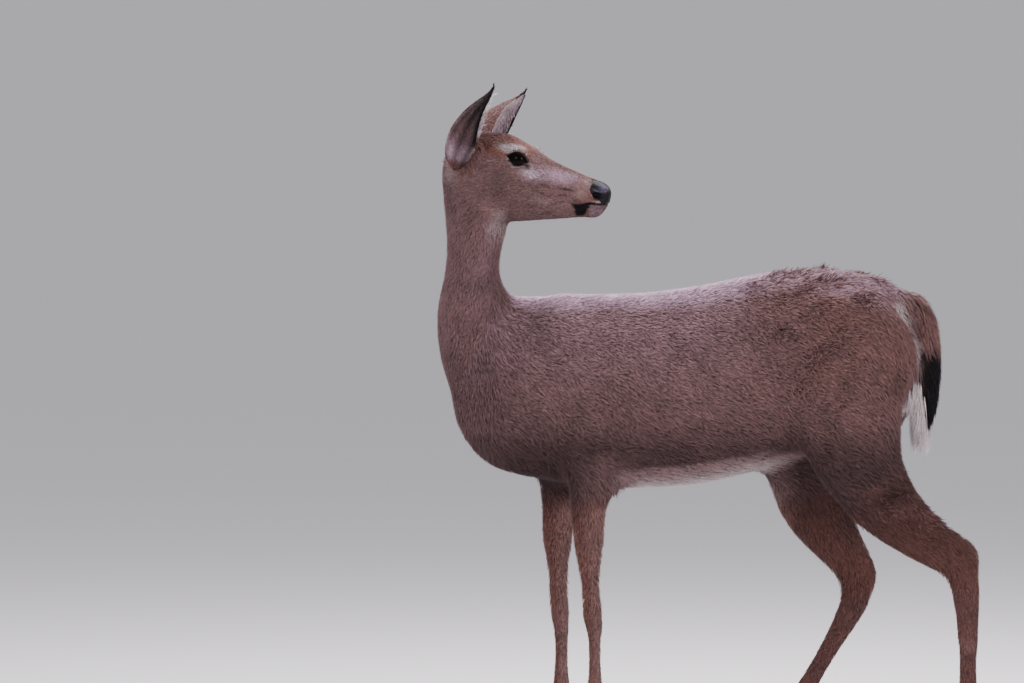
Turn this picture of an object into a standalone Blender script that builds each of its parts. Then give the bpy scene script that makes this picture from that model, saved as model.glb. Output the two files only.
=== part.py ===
"""A life-size white-tailed deer doe, standing still and looking back over her shoulder.

The doe walks towards -X and stands on the floor z = 0. Her left side is at -Y. Her head is turned
right round to her left, so that the nose points to +X and the right cheek faces -Y.

All flesh is first built as one body, out of closed tubes and rounds that run into each other. That
body is welded, relaxed and thinned, and then parted with thin cuts where a person would name its
parts. Eyes, claws, ears and tail are pieces of their own, let into it or set on it.
"""

from math import cos, pi, radians, sin

import bpy
import numpy as np
from mathutils import Matrix, Vector

# ------------------------------------------------------------------ driving dimensions, in metres

GAP = 0.0003  # between two pieces that touch
CUT = 0.0006  # width of the thin cuts that part the flesh
VOXEL = 0.004  # grain in which the tubes and rounds are welded
FLESH_TRIANGLES = 4400  # of the welded body, before it is parted
RING_POINTS = 40  # round each tube

LEFT, RIGHT = -1, 1  # the sign of y

HEAD_ORIGIN = Vector((-0.290, -0.130, 1.078))  # middle of the head, level with the eyes
HEAD_YAW = radians(-2)
HEAD_PITCH = radians(10)  # nose down
EYE_RADIUS = 0.0185
EYE_CENTRE = (-0.0055, 0.0385, 0.0440)  # forward, sideways and up from the head's origin

# Ears: root, tip (forward, sideways, up from the head's origin), turn of the opening to the middle
EAR_RIGHT = ((-0.110, 0.0466, 0.0275), (-0.0577, 0.1050, 0.1763), radians(7))
EAR_LEFT = ((-0.111, 0.0394, 0.0288), (-0.0563, 0.1031, 0.1638), radians(15))
EAR_THICKNESS = 0.0030
# Pinna: share of the way from root to tip, place of the arc's centre, its radius, half its angle
PINNA = (
    (-0.16, -0.004, 0.0100, 165),  # within the head
    (-0.08, -0.009, 0.0200, 162),
    (0.02, -0.012, 0.0260, 158),
    (0.11, -0.012, 0.0290, 151),
    (0.22, -0.011, 0.0315, 141),  # widest
    (0.36, -0.009, 0.0320, 129),
    (0.52, -0.006, 0.0290, 115),
    (0.70, 0.001, 0.0220, 96),
    (0.84, 0.006, 0.0135, 80),
    (0.94, 0.005, 0.0065, 70),
    (1.00, 0.001, 0.0015, 65),  # tip
)

CLAW_LENGTH = 0.058
CLAW_WIDTH = 0.0195
CLAW_HEIGHT = 0.036
CLEFT = 0.0016  # between the two claws of a foot

# Trunk: place along x, back line, level of the widest point, belly line, half width
TRUNK = (
    (-0.462, 0.735, 0.690, 0.640, 0.040),  # point of the brisket
    (-0.440, 0.785, 0.690, 0.578, 0.066),
    (-0.390, 0.846, 0.685, 0.530, 0.088),  # points of the shoulders
    (-0.300, 0.869, 0.680, 0.510, 0.104),  # shoulder blades
    (-0.190, 0.869, 0.680, 0.500, 0.119),  # withers and elbows
    (-0.080, 0.873, 0.675, 0.496, 0.131),  # ribs
    (0.030, 0.889, 0.680, 0.506, 0.136),
    (0.120, 0.908, 0.695, 0.530, 0.132),  # loin and flank
    (0.210, 0.922, 0.710, 0.560, 0.124),
    (0.310, 0.918, 0.725, 0.590, 0.113),  # hips
    (0.378, 0.903, 0.750, 0.655, 0.097),  # croup
    (0.416, 0.872, 0.775, 0.700, 0.074),
    (0.434, 0.830, 0.780, 0.742, 0.042),  # seat of the tail
)

# Neck: centre, turn of the nape about the vertical in degrees, radii to nape, to throat and sideways
NECK = (
    (-0.200, 0.000, 0.690, 0, 0.150, 0.140, 0.085),  # within the chest
    (-0.300, 0.000, 0.705, 0, 0.138, 0.150, 0.094),
    (-0.372, -0.022, 0.750, 8, 0.112, 0.115, 0.092),  # where it leaves the shoulders
    (-0.402, -0.052, 0.812, 34, 0.082, 0.083, 0.077),
    (-0.402, -0.086, 0.876, 74, 0.070, 0.070, 0.059),
    (-0.392, -0.112, 0.938, 116, 0.064, 0.067, 0.0535),
    (-0.382, -0.128, 1.000, 152, 0.067, 0.067, 0.054),
    (-0.378, -0.132, 1.060, 176, 0.074, 0.066, 0.052),  # behind the jaw
    (-0.376, -0.132, 1.105, 180, 0.073, 0.056, 0.048),
    (-0.370, -0.132, 1.135, 180, 0.058, 0.040, 0.042),
    (-0.366, -0.132, 1.150, 180, 0.030, 0.022, 0.024),
)

# Head: forward from its origin, crown line, widest level, jaw line, half width
HEAD = (
    (-0.118, 0.058, 0.020, -0.045, 0.036),  # back of the skull
    (-0.100, 0.075, 0.024, -0.072, 0.047),
    (-0.072, 0.084, 0.028, -0.083, 0.0515),  # crown
    (-0.040, 0.085, 0.033, -0.084, 0.054),
    (-0.012, 0.076, 0.036, -0.080, 0.0545),  # brow
    (0.014, 0.065, 0.030, -0.073, 0.049),
    (0.045, 0.054, 0.018, -0.066, 0.040),  # cheek
    (0.075, 0.046, 0.008, -0.058, 0.0325),
    (0.103, 0.040, 0.002, -0.051, 0.0275),  # muzzle
    (0.128, 0.034, 0.000, -0.044, 0.0255),
    (0.148, 0.032, 0.002, -0.040, 0.0240),  # lips
    (0.161, 0.029, 0.003, -0.034, 0.0215),
    (0.170, 0.024, 0.003, -0.022, 0.0170),
    (0.1755, 0.015, 0.005, -0.006, 0.0095),  # tip of the nose
)

# Rounds that fill out the head: centre and radii, in the head's own directions, one on each side
HEAD_ROUNDS = (
    ((-0.012, 0.038, 0.061), (0.024, 0.014, 0.0105)),  # brow over the eye
    ((-0.030, 0.044, 0.034), (0.026, 0.011, 0.022)),  # temple
    ((-0.050, 0.030, -0.032), (0.044, 0.022, 0.044)),  # jaw muscle
    ((0.020, 0.034, 0.012), (0.034, 0.012, 0.020)),  # cheek bone
    ((-0.108, 0.038, 0.026), (0.028, 0.020, 0.028)),  # root of the ear
    ((0.128, 0.013, -0.004), (0.030, 0.015, 0.020)),  # upper lip
    ((0.153, 0.008, 0.012), (0.018, 0.015, 0.018)),  # nostril
    ((0.142, 0.006, -0.030), (0.023, 0.012, 0.0120)),  # chin
)

# Legs: centre (x, y away from the middle, z), half depth fore and aft, half width sideways
FORELEG = (
    (0.020, 0.062, 0.700, 0.085, 0.050),  # shoulder
    (0.020, 0.078, 0.610, 0.080, 0.046),
    (0.010, 0.082, 0.540, 0.062, 0.040),
    (0.000, 0.080, 0.487, 0.0450, 0.033),  # elbow
    (-0.002, 0.078, 0.400, 0.0355, 0.027),  # forearm
    (0.000, 0.074, 0.335, 0.0245, 0.021),
    (0.002, 0.072, 0.290, 0.0235, 0.021),
    (0.004, 0.071, 0.265, 0.0240, 0.0215),  # knee
    (0.007, 0.070, 0.235, 0.0190, 0.0175),
    (0.008, 0.069, 0.185, 0.0160, 0.0140),  # cannon
    (0.008, 0.068, 0.125, 0.0165, 0.0145),
    (0.008, 0.067, 0.095, 0.0205, 0.0185),  # fetlock
    (-0.004, 0.067, 0.070, 0.0165, 0.0180),  # pastern
    (-0.017, 0.067, 0.046, 0.0200, 0.0205),
    (-0.024, 0.067, 0.033, 0.0190, 0.0195),  # within the claws
)
FORELEG_X = {LEFT: -0.1745, RIGHT: -0.276}  # of the forearm

HINDLEG_BACK = (  # the left one, pushed out behind
    (0.318, 0.050, 0.830, 0.110, 0.052),  # hip
    (0.318, 0.066, 0.745, 0.136, 0.060),  # thigh
    (0.318, 0.078, 0.660, 0.112, 0.056),
    (0.340, 0.084, 0.580, 0.098, 0.051),  # stifle
    (0.377, 0.086, 0.506, 0.076, 0.045),
    (0.427, 0.086, 0.454, 0.062, 0.038),  # gaskin
    (0.482, 0.085, 0.410, 0.049, 0.030),
    (0.530, 0.084, 0.378, 0.040, 0.0265),  # hock
    (0.548, 0.083, 0.335, 0.0320, 0.0240),
    (0.552, 0.082, 0.290, 0.0270, 0.0205),
    (0.554, 0.081, 0.220, 0.0215, 0.0175),  # cannon
    (0.554, 0.080, 0.130, 0.0195, 0.0165),
    (0.554, 0.079, 0.098, 0.0225, 0.0195),  # fetlock
    (0.541, 0.079, 0.072, 0.0180, 0.0185),  # pastern
    (0.527, 0.079, 0.047, 0.0200, 0.0205),
    (0.520, 0.079, 0.034, 0.0190, 0.0195),
)
HINDLEG_UNDER = (  # the right one, set well under the belly
    (0.310, 0.050, 0.830, 0.110, 0.052),
    (0.286, 0.066, 0.735, 0.138, 0.060),
    (0.250, 0.078, 0.645, 0.128, 0.056),
    (0.214, 0.084, 0.565, 0.104, 0.051),
    (0.212, 0.086, 0.490, 0.079, 0.045),
    (0.240, 0.086, 0.432, 0.063, 0.038),
    (0.277, 0.085, 0.382, 0.049, 0.030),
    (0.303, 0.084, 0.338, 0.040, 0.0265),
    (0.301, 0.083, 0.295, 0.0315, 0.0240),
    (0.283, 0.082, 0.255, 0.0265, 0.0205),
    (0.250, 0.081, 0.198, 0.0215, 0.0175),
    (0.206, 0.080, 0.124, 0.0195, 0.0165),
    (0.190, 0.079, 0.095, 0.0225, 0.0195),
    (0.173, 0.079, 0.071, 0.0180, 0.0185),
    (0.157, 0.079, 0.047, 0.0200, 0.0205),
    (0.150, 0.079, 0.034, 0.0190, 0.0195),
)
# Heel tendon of a hind leg, from behind the gaskin over the point of the hock: centre and radius
HEEL_BACK = (
    (0.424, 0.084, 0.556, 0.012),
    (0.465, 0.084, 0.492, 0.013),
    (0.512, 0.084, 0.445, 0.013),
    (0.563, 0.083, 0.404, 0.018),
    (0.563, 0.083, 0.372, 0.018),
    (0.562, 0.082, 0.315, 0.014),
)
HEEL_UNDER = (
    (0.292, 0.084, 0.540, 0.012),
    (0.286, 0.084, 0.470, 0.014),
    (0.304, 0.084, 0.410, 0.014),
    (0.331, 0.083, 0.350, 0.018),
    (0.323, 0.083, 0.312, 0.018),
    (0.296, 0.082, 0.255, 0.014),
)

# Rounds that fill out the trunk on each side: centre (x, y, z) and radii
MUSCLES = (
    ((-0.255, 0.078, 0.720), (0.100, 0.036, 0.120)),  # shoulder blade
    ((-0.330, 0.066, 0.640), (0.085, 0.040, 0.075)),  # point of the shoulder
    ((0.300, 0.070, 0.800), (0.120, 0.044, 0.090)),  # hip
    ((0.398, 0.062, 0.752), (0.062, 0.036, 0.090)),  # buttock
)
# Rounds at the back of each thigh, which move with the leg: side, centre and radii
HAMSTRINGS = (
    (LEFT, (0.392, 0.066, 0.650), (0.040, 0.032, 0.080)),
    (RIGHT, (0.384, 0.064, 0.700), (0.054, 0.035, 0.075)),
    (RIGHT, (0.345, 0.068, 0.640), (0.058, 0.034, 0.085)),
    (RIGHT, (0.302, 0.074, 0.575), (0.050, 0.032, 0.085)),
)

# Tail, hair and all: centre line x and z, half thickness fore and aft, half width
TAIL = (
    (0.414, 0.878, 0.012, 0.018),
    (0.442, 0.856, 0.016, 0.026),
    (0.460, 0.820, 0.017, 0.033),
    (0.466, 0.768, 0.019, 0.038),
    (0.459, 0.712, 0.026, 0.042),
    (0.451, 0.660, 0.028, 0.041),
    (0.448, 0.622, 0.019, 0.030),
    (0.447, 0.600, 0.010, 0.017),
    (0.446, 0.588, 0.003, 0.007),
)


# ------------------------------------------------------------------------------- the ground tools


def clear_scene():
    for obj in list(bpy.data.objects):
        bpy.data.objects.remove(obj)


def material(name, colour, roughness, metallic=0.0):
    """A plain Principled finish."""
    made = bpy.data.materials.new(name)
    made.use_nodes = True
    shader = made.node_tree.nodes["Principled BSDF"]
    shader.inputs["Base Color"].default_value = (*colour, 1)
    shader.inputs["Roughness"].default_value = roughness
    shader.inputs["Metallic"].default_value = metallic
    return made


def add_object(name, points, faces, finish=None):
    """A smooth-shaded mesh object of these points and faces."""
    mesh = bpy.data.meshes.new(name)
    mesh.from_pydata(np.asarray(points, float).tolist(), [], faces)
    mesh.update()
    mesh.shade_smooth()
    if finish:
        mesh.materials.append(finish)
    obj = bpy.data.objects.new(name, mesh)
    bpy.context.scene.collection.objects.link(obj)
    return obj


def as_helper(obj):
    """Marks a cutter, which is no part of the deer."""
    obj.hide_render = True
    obj.display_type = "WIRE"
    return obj


def apply_modifiers(obj):
    """Puts the evaluated shape in place of the mesh and its modifiers."""
    graph = bpy.context.evaluated_depsgraph_get()
    shape = bpy.data.meshes.new_from_object(obj.evaluated_get(graph))
    obj.modifiers.clear()
    obj.data = shape
    return obj


def spline(stations, per_span=5):
    """Rows between the stations, on cubic curves that pass through every one of them."""
    rows = np.asarray(stations, float)
    slopes = np.gradient(rows, axis=0)
    made = []
    for start in range(len(rows) - 1):
        for t in np.arange(per_span) / per_span:
            made.append(
                rows[start] * (2 * t**3 - 3 * t**2 + 1)
                + slopes[start] * (t**3 - 2 * t**2 + t)
                + rows[start + 1] * (3 * t**2 - 2 * t**3)
                + slopes[start + 1] * (t**3 - t**2)
            )
    made.append(rows[-1])
    return np.array(made)


def unit(vectors):
    return vectors / np.linalg.norm(vectors, axis=-1, keepdims=True)


def outline(up, down, side, squareness=2.2, count=RING_POINTS):
    """One ring: how far each point lies sideways and up, from a round that is fuller than an ellipse."""
    angle = np.arange(count) * 2 * pi / count
    power = 2 / squareness
    across = side * np.sign(np.cos(angle)) * np.abs(np.cos(angle)) ** power
    height = np.sign(np.sin(angle)) * np.abs(np.sin(angle)) ** power
    return across, height * np.where(height > 0, up, down)


def tube(rings):
    """Points and faces of a closed tube through the rings, with a point at the middle of each end."""
    rings = np.asarray(rings)
    rows, count = rings.shape[:2]
    points = np.vstack([rings.reshape(-1, 3), rings[0].mean(0), rings[-1].mean(0)])
    first, last = rows * count, rows * count + 1
    faces = []
    for j in range(count):
        k = (j + 1) % count
        faces.append((first, k, j))
        faces.append((last, (rows - 1) * count + j, (rows - 1) * count + k))
        for i in range(rows - 1):
            faces.append((i * count + j, i * count + k, (i + 1) * count + k, (i + 1) * count + j))
    return points, faces


def faces_out(points, faces):
    """Turns every face round if the closed shape is inside out."""
    volume = 0.0
    for face in faces:
        for a, b in zip(face[1:-1], face[2:]):
            volume += np.dot(points[face[0]], np.cross(points[a], points[b]))
    return faces if volume > 0 else [face[::-1] for face in faces]


def swept(centres, ups, radii, squareness=2.2, count=RING_POINTS):
    """A tube along the centres. Each ring stands square to the path, with its up side turned to ups."""
    along = unit(np.gradient(centres, axis=0))
    ups = unit(ups - (ups * along).sum(1, keepdims=True) * along)
    sides = np.cross(ups, along)
    rings = []
    for centre, up, side, (high, low, wide) in zip(centres, ups, sides, radii):
        across, height = outline(high, low, wide, squareness, count)
        rings.append(centre + np.outer(across, side) + np.outer(height, up))
    return tube(rings)


def round_body(centre, radii, axes=None, rows=16, count=RING_POINTS):
    """An ellipsoid with its three radii along the axes."""
    axes = np.eye(3) if axes is None else np.asarray(axes)
    rings = []
    for i in range(1, rows):
        tilt = pi * i / rows
        turn = np.arange(count) * 2 * pi / count
        local = np.stack(
            [np.full(count, cos(tilt)), sin(tilt) * np.cos(turn), sin(tilt) * np.sin(turn)], 1
        )
        rings.append(np.asarray(centre) + (local * np.asarray(radii)) @ axes)
    return tube(rings)


def weld_shapes(name, shapes):
    """One mesh object that holds all these closed shapes, each with its faces outwards."""
    points, faces, base = [], [], 0
    for shape_points, shape_faces in shapes:
        shape_faces = faces_out(shape_points, shape_faces)
        points.append(shape_points)
        faces += [tuple(i + base for i in face) for face in shape_faces]
        base += len(shape_points)
    return add_object(name, np.vstack(points), faces)


# ---------------------------------------------------------------------------- the body's own forms


def head_axes():
    """The head's forward, rightward and upward directions, as rows."""
    turn = Matrix.Rotation(HEAD_YAW, 3, "Z") @ Matrix.Rotation(HEAD_PITCH, 3, "Y")
    forward, up = turn @ Vector((1, 0, 0)), turn @ Vector((0, 0, 1))
    return np.array([forward, forward.cross(up), up])


def in_head(place):
    """A place given forward, rightward and upward from the head's origin, in the deer's frame."""
    return np.asarray(HEAD_ORIGIN) + np.asarray(place, float) @ head_axes()


def trunk_shape():
    """The barrel from brisket to tail. Its sections are upright, widest at their own level."""
    rings = []
    for x, back, level, belly, half in spline(TRUNK):
        across, height = outline(back - level, level - belly, half, 2.3)
        rings.append(np.stack([np.full(RING_POINTS, x), across, level + height], 1))
    return tube(rings)


def neck_shape():
    """The neck, which turns half round on its way up: nape behind at the withers, in front at the head."""
    rows = spline(NECK)
    turn = np.radians(rows[:, 3])
    nape = np.stack([np.cos(turn), np.sin(turn), np.full(len(rows), 0.15)], 1)
    return swept(rows[:, :3], nape, rows[:, 4:])


def head_shape():
    """Skull, jaw and muzzle. Sections are broad over the eyes and narrow at the jaw."""
    rings = []
    for forward, crown, level, jaw, half in spline(HEAD):
        across, height = outline(crown - level, level - jaw, half, 2.15)
        narrowing = 1 - 0.30 * np.clip(-height / (level - jaw), 0, 1) ** 1.5
        local = np.stack([np.full(RING_POINTS, forward), across * narrowing, level + height], 1)
        rings.append(in_head(local))
    return tube(rings)


def leg_shape(stations, side, x=0.0):
    """A leg: rings square to its own path, deeper fore and aft than wide."""
    rows = spline(stations)
    centres = rows[:, :3] * (1, side, 1) + (x, 0, 0)
    fore = np.tile((-1.0, 0.0, 0.0), (len(rows), 1))
    fore[:, 2] = -0.3
    return swept(centres, fore, rows[:, [3, 3, 4]])


def heel_shape(stations, side):
    """The tendon behind a gaskin and the point of the hock."""
    rows = spline(stations)
    fore = np.tile((-1.0, 0.0, -0.4), (len(rows), 1))
    return swept(rows[:, :3] * (1, side, 1), fore, rows[:, [3, 3, 3]] * (1, 1, 0.8))


def flesh_shapes():
    """Every tube and round of the flesh, apart from the ears and the tail."""
    shapes = [trunk_shape(), neck_shape(), head_shape()]
    shapes += [leg_shape(FORELEG, side, FORELEG_X[side]) for side in (LEFT, RIGHT)]
    shapes += [leg_shape(HINDLEG_BACK, LEFT), leg_shape(HINDLEG_UNDER, RIGHT)]
    shapes += [heel_shape(HEEL_BACK, LEFT), heel_shape(HEEL_UNDER, RIGHT)]
    for side, centre, radii in HAMSTRINGS:
        shapes.append(round_body(np.multiply(centre, (1, side, 1)), radii))
    for side in (LEFT, RIGHT):
        for centre, radii in MUSCLES:
            shapes.append(round_body(np.multiply(centre, (1, side, 1)), radii))
        for centre, radii in HEAD_ROUNDS:
            place = in_head(np.multiply(centre, (1, side, 1)))
            shapes.append(round_body(place, radii, head_axes()))
    return shapes


def relax(obj, rounds, strength):
    """Evens out the skin: each point moves towards the middle of its neighbours by its own strength."""
    mesh = obj.data
    count = len(mesh.vertices)
    points = np.empty(count * 3)
    mesh.vertices.foreach_get("co", points)
    points = points.reshape(-1, 3)
    ends = np.empty(len(mesh.edges) * 2, int)
    mesh.edges.foreach_get("vertices", ends)
    first, second = ends.reshape(-1, 2).T
    share = np.bincount(first, minlength=count) + np.bincount(second, minlength=count)
    weight = strength(points)[:, None]
    for _ in range(rounds):
        middle = np.empty_like(points)
        for axis in range(3):
            middle[:, axis] = np.bincount(first, points[second, axis], count) + np.bincount(
                second, points[first, axis], count
            )
        points += weight * (middle / share[:, None] - points)
    mesh.vertices.foreach_set("co", points.ravel())
    mesh.update()


def softness(points):
    """How much the skin is evened out: most on the trunk, less on the head and the lower legs."""
    from_head = np.linalg.norm(points - in_head((0.03, 0, 0)), axis=1)
    head = np.clip((from_head - 0.10) / 0.12, 0.12, 1)
    legs = np.clip((points[:, 2] - 0.30) / 0.30, 0.12, 1)
    return 0.6 * np.minimum(head, legs)


def whole_flesh():
    """The flesh as one closed, even, thinned body."""
    body = weld_shapes("flesh", flesh_shapes())
    remesh = body.modifiers.new("weld", "REMESH")
    remesh.mode = "VOXEL"
    remesh.voxel_size = VOXEL
    apply_modifiers(body)
    relax(body, 40, softness)
    thin = body.modifiers.new("thin", "DECIMATE")
    thin.ratio = FLESH_TRIANGLES / (2 * len(body.data.polygons))
    return apply_modifiers(body)


# ------------------------------------------------------------------------- pieces of their own


def eye_shape(side, more=0.0):
    """An eyeball."""
    centre = in_head(np.multiply(EYE_CENTRE, (1, side, 1)))
    return round_body(centre, np.full(3, EYE_RADIUS + more), head_axes(), rows=8, count=14)


def ear_shape(side):
    """The pinna: a leaf rolled into a scoop, with an outer and an inner wall and a rim between them.

    Each row is an arc about the ear's axis, open towards the front. The arc nearly closes at the root
    and opens out towards the tip.
    """
    root, tip, turned = EAR_RIGHT if side == RIGHT else EAR_LEFT
    root, tip = (in_head(np.multiply(place, (1, side, 1))) for place in (root, tip))
    forward, rightward, _ = head_axes()
    axis = unit(tip - root)
    facing = cos(turned) * forward - sin(turned) * rightward * side
    facing = unit(facing - facing.dot(axis) * axis)
    across = np.cross(axis, facing)
    columns = 11
    outer, inner = [], []
    for share, place, radius, half_angle in PINNA:
        centre = root + (tip - root) * share + facing * place
        angle = radians(half_angle) * np.linspace(-1, 1, columns)
        out = np.outer(np.cos(angle), -facing) + np.outer(np.sin(angle), across)
        thickness = min(EAR_THICKNESS, radius * 0.6) * (0.55 + 0.45 * np.cos(angle * 0.8)[:, None])
        outer.append(centre + radius * out)
        inner.append(centre + (radius - thickness) * out)
    return leaf(np.array(outer), np.array(inner))


def leaf(outer, inner):
    """Points and faces of a closed sheet between two walls on the same grid."""
    rows, columns = outer.shape[:2]
    half = rows * columns
    points = np.vstack([outer.reshape(-1, 3), inner.reshape(-1, 3)])
    faces = []
    for i in range(rows - 1):
        for j in range(columns - 1):
            a, b = i * columns + j, (i + 1) * columns + j
            faces.append((a, a + 1, b + 1, b))
            faces.append((half + a, half + b, half + b + 1, half + a + 1))
    edge = list(range(columns))
    edge += [i * columns + columns - 1 for i in range(1, rows)]
    edge += [(rows - 1) * columns + j for j in range(columns - 2, -1, -1)]
    edge += [i * columns for i in range(rows - 2, 0, -1)]
    for here, there in zip(edge, edge[1:] + edge[:1]):
        faces.append((there, here, half + here, half + there))
    return points, faces


def tail_shape():
    """The hanging tail with its hair: a long leaf, wider than thick."""
    rows = spline(TAIL, 2)
    centres = np.stack([rows[:, 0], np.zeros(len(rows)), rows[:, 1]], 1)
    back = np.tile((1.0, 0.0, 0.3), (len(rows), 1))
    return swept(centres, back, rows[:, [2, 2, 3]], 2.0, 12)


def claw_shape(foot, way, side, inner, more=0.0):
    """One claw: a flat sole, a long sloping toe and an upright inner wall beside the cleft."""
    count = 12
    rings = []
    hand = side * (-1 if inner else 1)
    for level in np.linspace(0, 1, 4):
        # The claw narrows and leans back as it rises from the sole to the hair line.
        length = (CLAW_LENGTH / 2) * (1 - 0.34 * level) + more
        width = (CLAW_WIDTH / 2) * (1 - 0.06 * level) + more
        height = CLAW_HEIGHT * level + (more if level == 1 else -more if level == 0 else 0)
        centre = CLAW_LENGTH * (0.50 - 0.17 * level) - CLAW_LENGTH * 0.42
        turn = np.arange(count) * 2 * pi / count
        forward = centre + length * np.cos(turn)
        taper = 1 - 0.42 * np.clip(np.cos(turn), 0, 1) ** 2
        across = width * np.sin(turn) * taper
        across = CLEFT / 2 + CLAW_WIDTH / 2 + across
        ring = np.outer(forward, way) + np.outer(across * hand, (0, 1, 0))
        rings.append(ring + np.asarray(foot) + (0, 0, height))
    return tube(rings)


def dewclaw_shape(fetlock, side, inner, more=0.0):
    """A small blunt claw behind the fetlock, pointing down."""
    hand = side * (-1 if inner else 1)
    centre = np.asarray(fetlock) + (0.0175, hand * 0.0115, -0.021)
    axes = unit(np.array([(0.45, 0.0, -0.9), (0.0, 1.0, 0.0), (0.9, 0.0, 0.45)]))
    return round_body(centre, np.array((0.0120, 0.0058, 0.0070)) + more, axes, rows=5, count=8)


def legs():
    """Name, side, stations and x of each leg."""
    return (
        ("foreleg_left", LEFT, FORELEG, FORELEG_X[LEFT]),
        ("foreleg_right", RIGHT, FORELEG, FORELEG_X[RIGHT]),
        ("hindleg_left", LEFT, HINDLEG_BACK, 0.0),
        ("hindleg_right", RIGHT, HINDLEG_UNDER, 0.0),
    )


def place_on_leg(stations, side, x, index):
    """The centre of a leg's station."""
    return np.multiply(stations[index][:3], (1, side, 1)) + (x, 0, 0)


def claws_of(stations, side, x, more=0.0):
    """The four claws of a foot, each with the end of its name."""
    toe = place_on_leg(stations, side, x, -1)
    fetlock = place_on_leg(stations, side, x, -4)
    foot = (toe[0] - 0.003, toe[1], 0.0)
    for inner in (True, False):
        where = "inner" if inner else "outer"
        way = unit(np.array((-1.0, side * (0.02 if inner else 0.10), 0.0)))
        yield f"claw_{where}", claw_shape(foot, way, side, inner, more)
        yield f"dewclaw_{where}", dewclaw_shape(fetlock, side, inner, more)


# ----------------------------------------------------------------------------------- the cuts


def slab(centre, normal, half_length, half_width):
    """A thin box that parts the flesh. It is square to the normal, and its width lies along y."""
    normal = unit(np.asarray(normal, float))
    width = np.array((0.0, 1.0, 0.0))
    length = np.cross(width, normal)
    corners = []
    for n in (-1, 1):
        for a, b in ((-1, -1), (1, -1), (1, 1), (-1, 1)):
            corners.append(
                np.asarray(centre, float)
                + normal * n * CUT / 2
                + length * a * half_length
                + width * b * half_width
            )
    faces = [(0, 1, 2, 3), (7, 6, 5, 4)]
    faces += [(i, i + 4, (i + 1) % 4 + 4, (i + 1) % 4) for i in range(4)]
    return np.array(corners), faces


def cuts():
    """The slabs between head, neck, trunk and legs."""
    made = [
        slab((-0.388, -0.131, 1.046), (0.50, 0.0, 0.866), 0.110, 0.085),  # behind the jaw
        slab((-0.402, -0.012, 0.762), (-0.868, 0.0, 0.498), 0.170, 0.150),  # before the shoulders
    ]
    for _, side, stations, x in legs():
        hind = stations is not FORELEG
        upper, lower = (4, 8) if hind else (3, 7)
        for index, reach in ((upper, 1.9 if hind else 1.35), (lower, 1.6)):
            centre = place_on_leg(stations, side, x, index)
            before = place_on_leg(stations, side, x, index - 1)
            after = place_on_leg(stations, side, x, index + 1)
            depth, width = stations[index][3:]
            made.append(slab(centre, after - before, depth * reach, min(width * 1.7, 0.082)))
    return made


def part_flesh(body):
    """Parts the flesh with the slabs, and lets in the eyes and the claws."""
    cutters = cuts() + [eye_shape(side, GAP) for side in (LEFT, RIGHT)]
    for _, side, stations, x in legs():
        cutters += [shape for _, shape in claws_of(stations, side, x, GAP)]
    cutter = as_helper(weld_shapes("cutter", cutters))
    cut = body.modifiers.new("cut", "BOOLEAN")
    cut.operation = "DIFFERENCE"
    cut.solver = "EXACT"
    cut.use_self = True
    cut.object = cutter
    apply_modifiers(body)
    bpy.data.objects.remove(cutter)


def loose_parts(obj):
    """The separate closed bodies of a mesh, as (points, faces)."""
    mesh = obj.data
    points = np.array([vertex.co for vertex in mesh.vertices])
    label = np.arange(len(points))
    ends = np.array([edge.vertices for edge in mesh.edges])
    while True:
        lower = np.minimum(label[ends[:, 0]], label[ends[:, 1]])
        before = label.copy()
        np.minimum.at(label, ends[:, 0], lower)
        np.minimum.at(label, ends[:, 1], lower)
        label = label[label]
        if (label == before).all():
            break
    faces = [tuple(face.vertices) for face in mesh.polygons]
    for group in np.unique(label):
        inside = np.flatnonzero(label == group)
        index = {old: new for new, old in enumerate(inside)}
        own = [tuple(index[i] for i in face) for face in faces if label[face[0]] == group]
        yield points[inside], own


def flesh_names():
    """A place near the middle of each part of the flesh, by name."""
    named = {
        "head": in_head((0.0, 0.0, 0.0)),
        "neck": np.array((-0.395, -0.10, 0.92)),
        "trunk": np.array((0.0, 0.0, 0.70)),
    }
    for name, side, stations, x in legs():
        hind = stations is not FORELEG
        named[f"{name}_upper"] = place_on_leg(stations, side, x, 6 if hind else 5)
        named[f"{name}_lower"] = place_on_leg(stations, side, x, 10 if hind else 9)
    return named


def cut_to_flesh(obj, body_points, body_faces):
    """Trims an ear or the tail where it would run into the flesh, less the gap between them."""
    helper = as_helper(add_object("trimmer", body_points, body_faces))
    swell = helper.modifiers.new("swell", "DISPLACE")
    swell.strength = GAP
    swell.mid_level = 0
    apply_modifiers(helper)
    trim = obj.modifiers.new("trim", "BOOLEAN")
    trim.operation = "DIFFERENCE"
    trim.solver = "EXACT"
    trim.object = helper
    apply_modifiers(obj)
    bpy.data.objects.remove(helper)


def keep_largest(obj, finish):
    """Drops the crumbs that a trim leaves, and keeps the largest body."""
    parts = sorted(loose_parts(obj), key=lambda part: len(part[0]))
    name = obj.name
    bpy.data.objects.remove(obj)
    return add_object(name, *parts[-1], finish)


# ---------------------------------------------------------------------------------- the deer


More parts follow.
